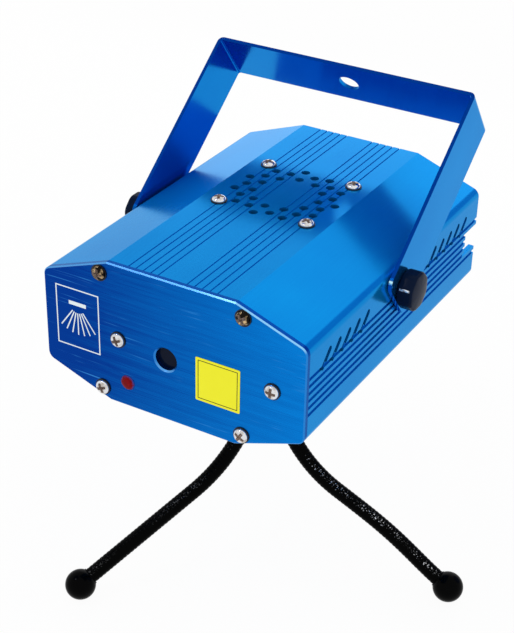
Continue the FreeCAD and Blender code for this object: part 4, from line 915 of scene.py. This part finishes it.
def ball_foot(index, ahead):
    """A smooth ball whose thin collar holds the leg that comes from behind."""
    node = f"foot_{index}"
    ball = half_size(node, "z")
    end = math.pi - math.asin(COLLAR_RADIUS / ball)
    profile = [(0, -ball)]
    for i in range(1, BALL_STEPS + 1):
        lean = end * i / BALL_STEPS
        profile.append((ball * math.sin(lean), -ball * math.cos(lean)))
    seam = math.sqrt(ball ** 2 - COLLAR_RADIUS ** 2)
    top = seam + COLLAR_HIGH
    for inset, drop in ((0, 1), (ROUND_MIDDLE, ROUND_MIDDLE), (1, 0)):
        profile.append((COLLAR_RADIUS - COLLAR_ROUND * inset, top - COLLAR_ROUND * drop))
    profile += [(LEG_RADIUS, top), (LEG_RADIUS, seam - COLLAR_HIGH), (0, seam - COLLAR_HIGH)]
    bm = bmesh.new()
    turn(bm, profile, BALL_SIDES, facing(middle(node), -ahead))
    piece(f"ball_foot_{index}", bm, [FINISHES["black_foot"]], "stand", [node])


def plate_spot(x, z, proud=0.0):
    """A point on the front plate's face, measured from the plate's middle."""
    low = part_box("front_plate")[0]
    centre = middle("front_plate")
    return Vector((centre.x + x, low.y - proud, centre.z + z))


def back_spot(node):
    """The places on a rear piece's outer face, measured from its middle."""
    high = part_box(node)[1]
    centre = middle(node)

    def spot(x, z, proud=0.0):
        return Vector((centre.x + x, high.y + proud, centre.z + z))
    return spot


def raised_outline(bm, outline, thick, spot=plate_spot):
    """A thin sheet of the given outline on a plate, with its edge."""
    back = [bm.verts.new(spot(x, z)) for x, z in outline]
    face = [bm.verts.new(spot(x, z, thick)) for x, z in outline]
    block(bm, back, face)


def rounded_box(left, right, low, high, corner):
    """The outline of a box with rounded corners."""
    corners = [(right - corner, high - corner, 0), (left + corner, high - corner, 90),
               (left + corner, low + corner, 180), (right - corner, low + corner, 270)]
    outline = []
    for x, z, start in corners:
        outline += arc(x, z, corner, start, start + 90, CORNER_STEPS)
    return outline


def line_box(start, end, wide):
    """The outline of a straight line with its width."""
    along = (end - start).normalized()
    side = Vector((-along.y, along.x)) * wide / 2
    return [tuple(corner) for corner in (start + side, start - side, end - side, end + side)]


def line_frame(bm, left, right, low, high, wide, thick):
    """Four printed lines round a box, mitred at the corners."""
    def corners(inset):
        sides = (left + inset, right - inset)
        ends = (low + inset, high - inset)
        return [(sides[0], ends[0]), (sides[1], ends[0]), (sides[1], ends[1]), (sides[0], ends[1])]

    outer = corners(0)
    inner = corners(wide)
    for i in range(4):
        j = (i + 1) % 4
        raised_outline(bm, [outer[i], outer[j], inner[j], inner[i]], thick)


def lean_way(degrees):
    """The way of a line on a plate that leans so many degrees from straight up."""
    return Vector((math.sin(math.radians(degrees)), math.cos(math.radians(degrees))))


def front_print():
    """A thin white square round a short bar with a plain fan of lines under it."""
    bm = bmesh.new()
    line_frame(bm, PRINT_LEFT, PRINT_RIGHT, PRINT_LOW, PRINT_HIGH, PRINT_LINE, PRINT_THICK)
    source = Vector(((PRINT_LEFT + PRINT_RIGHT) / 2, PRINT_HIGH - BAR_DOWN))
    for lean in BEAM_ANGLES:
        way = lean_way(180 - lean)
        beam = line_box(source + way * BEAM_START, source + way * BEAM_END, PRINT_LINE)
        raised_outline(bm, beam, PRINT_THICK)
    half = Vector((BAR_LONG / 2, 0))
    raised_outline(bm, line_box(source - half, source + half, BAR_WIDE), PRINT_THICK)
    piece("front_print", bm, [WHITE_INK], "housing")


def sticker():
    """A plain yellow sticker with a thin black line round it."""
    bm = bmesh.new()
    outline = rounded_box(STICKER_LEFT, STICKER_RIGHT, STICKER_LOW, STICKER_HIGH, STICKER_CORNER)
    raised_outline(bm, outline, STICKER_THICK)
    piece("yellow_sticker", bm, [YELLOW_VINYL], "housing")
    bm = bmesh.new()
    line_frame(bm, STICKER_LEFT + STICKER_INSET, STICKER_RIGHT - STICKER_INSET, STICKER_LOW + STICKER_INSET,
               STICKER_HIGH - STICKER_INSET, STICKER_LINE, STICKER_THICK + PRINT_THICK)
    piece("sticker_line", bm, [BLACK_INK], "housing")


def speed_marks():
    """White dots on the rear panel round the speed knob, and the pointer line on its face."""
    radius = half_size("speed_knob", "x")
    across = middle("speed_knob") - middle("rear_panel")
    last = 360 - 360 / DOT_SIDES
    bm = bmesh.new()
    for lean in DOT_ANGLES:
        way = lean_way(lean) * (radius + DOTS_OFF_KNOB)
        dot = arc(across.x + way.x, across.z + way.y, DOT_RADIUS, 0, last, DOT_SIDES - 1)
        raised_outline(bm, dot, PRINT_THICK, back_spot("rear_panel"))
    piece("speed_dots", bm, [WHITE_INK], "housing")
    bm = bmesh.new()
    line = line_box(Vector((0, POINTER_FROM * radius)), Vector((0, POINTER_TO * radius)), POINTER_WIDE)
    raised_outline(bm, line, PRINT_THICK, back_spot("speed_knob"))
    piece("speed_pointer", bm, [WHITE_INK], "speed_control")


def switch_thumb():
    """The slide switch's lever with ridges for the thumb across its end."""
    low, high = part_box("switch_lever")
    pitch = (high.x - low.x) / RIDGES
    valley = high.y - RIDGE_DEEP
    outline = [(high.x, low.y), (low.x, low.y)]
    for i in range(RIDGES):
        left = low.x + i * pitch
        outline.append((left, valley))
        outline.append((left + RIDGE_RISE * pitch, high.y))
        outline.append((left + (1 - RIDGE_RISE) * pitch, high.y))
    outline.append((high.x, valley))
    bm = bmesh.new()
    floor, roof = [[bm.verts.new((x, y, z)) for x, y in outline] for z in (low.z, high.z)]
    block(bm, floor, roof)
    piece("switch_thumb", bm, [FINISHES["socket_black"]], "mode_switch", ["switch_lever"])


def stage():
    """A pale floor, white in mirrors and to the camera but for a faint shadow."""
    made = bpy.data.materials.new("pale_floor")
    made.use_nodes = True
    made.node_tree.nodes.remove(made.node_tree.nodes["Principled BSDF"])
    finish = Finish(made.node_tree)
    seen = finish.clamp(finish.ray_is("Camera") + finish.ray_is("Glossy") + finish.ray_is("Transmission"))
    paper = finish.add("ShaderNodeBsdfDiffuse", {}, {"Color": grey(FLOOR_PAPER)})
    white = finish.add("ShaderNodeEmission", {}, {"Color": grey(1.0), "Strength": 1.0})
    mixed = finish.add("ShaderNodeMixShader", {}, {0: seen * FLOOR_WHITE, 1: paper, 2: white})
    finish.feed(made.node_tree.nodes["Material Output"].inputs["Surface"], mixed)
    bm = bmesh.new()
    bmesh.ops.create_grid(bm, x_segments=1, y_segments=1, size=FLOOR_REACH)
    floor = new_object("floor", mesh_of("floor", bm, [made]))


def studio():
    """White walls all round, with the blue cards in what metal mirrors of them."""
    world = bpy.data.worlds.new("studio")
    world.use_nodes = True
    scene.world = world
    sky = Finish(world.node_tree)
    way = sky.add("ShaderNodeTexCoord", out="Generated")
    shine = sky.clamp(sky.ray_is("Glossy") + sky.ray_is("Transmission"))
    cards = 0.0
    for towards, inner, outer, depth in CARDS:
        near = sky.vector("DOT_PRODUCT", way, Vector(towards).normalized(), "Value")
        starts, full = [math.cos(math.radians(angle)) for angle in (outer, inner)]
        cards = sky.ramp(near, starts, full) * depth + cards
    level = ROOM_LEVEL + (1 - ROOM_LEVEL) * sky.clamp(sky.ray_is("Camera") + shine)
    background = world.node_tree.nodes["Background"]
    sky.feed(background.inputs["Color"], sky.mix(shine * cards, grey(1.0), CARD_BLUE))
    sky.feed(background.inputs["Strength"], level)


def soft_boxes():
    """Soft boxes that the camera doesn't see, each with a face as bright as its level times white."""
    for name, (spot, aim, wide, high, level) in SOFT_BOXES.items():
        lamp = bpy.data.lights.new(name, "AREA")
        lamp.shape = "RECTANGLE"
        lamp.size = wide
        lamp.size_y = high
        lamp.energy = level * math.pi * wide * high
        made = new_object(name, lamp)
        made.location = spot
        made.rotation_euler = (Vector(aim) - Vector(spot)).to_track_quat("-Z", "Y").to_euler()
        made.visible_camera = False


def camera():
    """The camera, level but for its roll."""
    ahead = Vector((-math.sin(CAMERA_AZIMUTH) * math.cos(CAMERA_ELEVATION),
                    math.cos(CAMERA_AZIMUTH) * math.cos(CAMERA_ELEVATION), -math.sin(CAMERA_ELEVATION)))
    level = Vector((math.cos(CAMERA_AZIMUTH), math.sin(CAMERA_AZIMUTH), 0))
    upright = level.cross(ahead)
    right = level * math.cos(CAMERA_ROLL) + upright * math.sin(CAMERA_ROLL)
    up = upright * math.cos(CAMERA_ROLL) - level * math.sin(CAMERA_ROLL)
    lens = bpy.data.cameras.new("camera")
    lens.sensor_width = CAMERA_SENSOR
    lens.lens = CAMERA_LENS
    lens.clip_start = CAMERA_NEAR
    made = new_object("camera", lens)
    made.matrix_world = Matrix.Translation(CAMERA_PLACE) @ Matrix((right, up, -ahead)).transposed().to_4x4()
    scene.camera = made


dress_nodes()
screws()
knobs()
indicator()
legs()
front_print()
sticker()
speed_marks()
switch_thumb()
stage()
studio()
soft_boxes()
camera()
scene.view_settings.view_transform = "Standard"
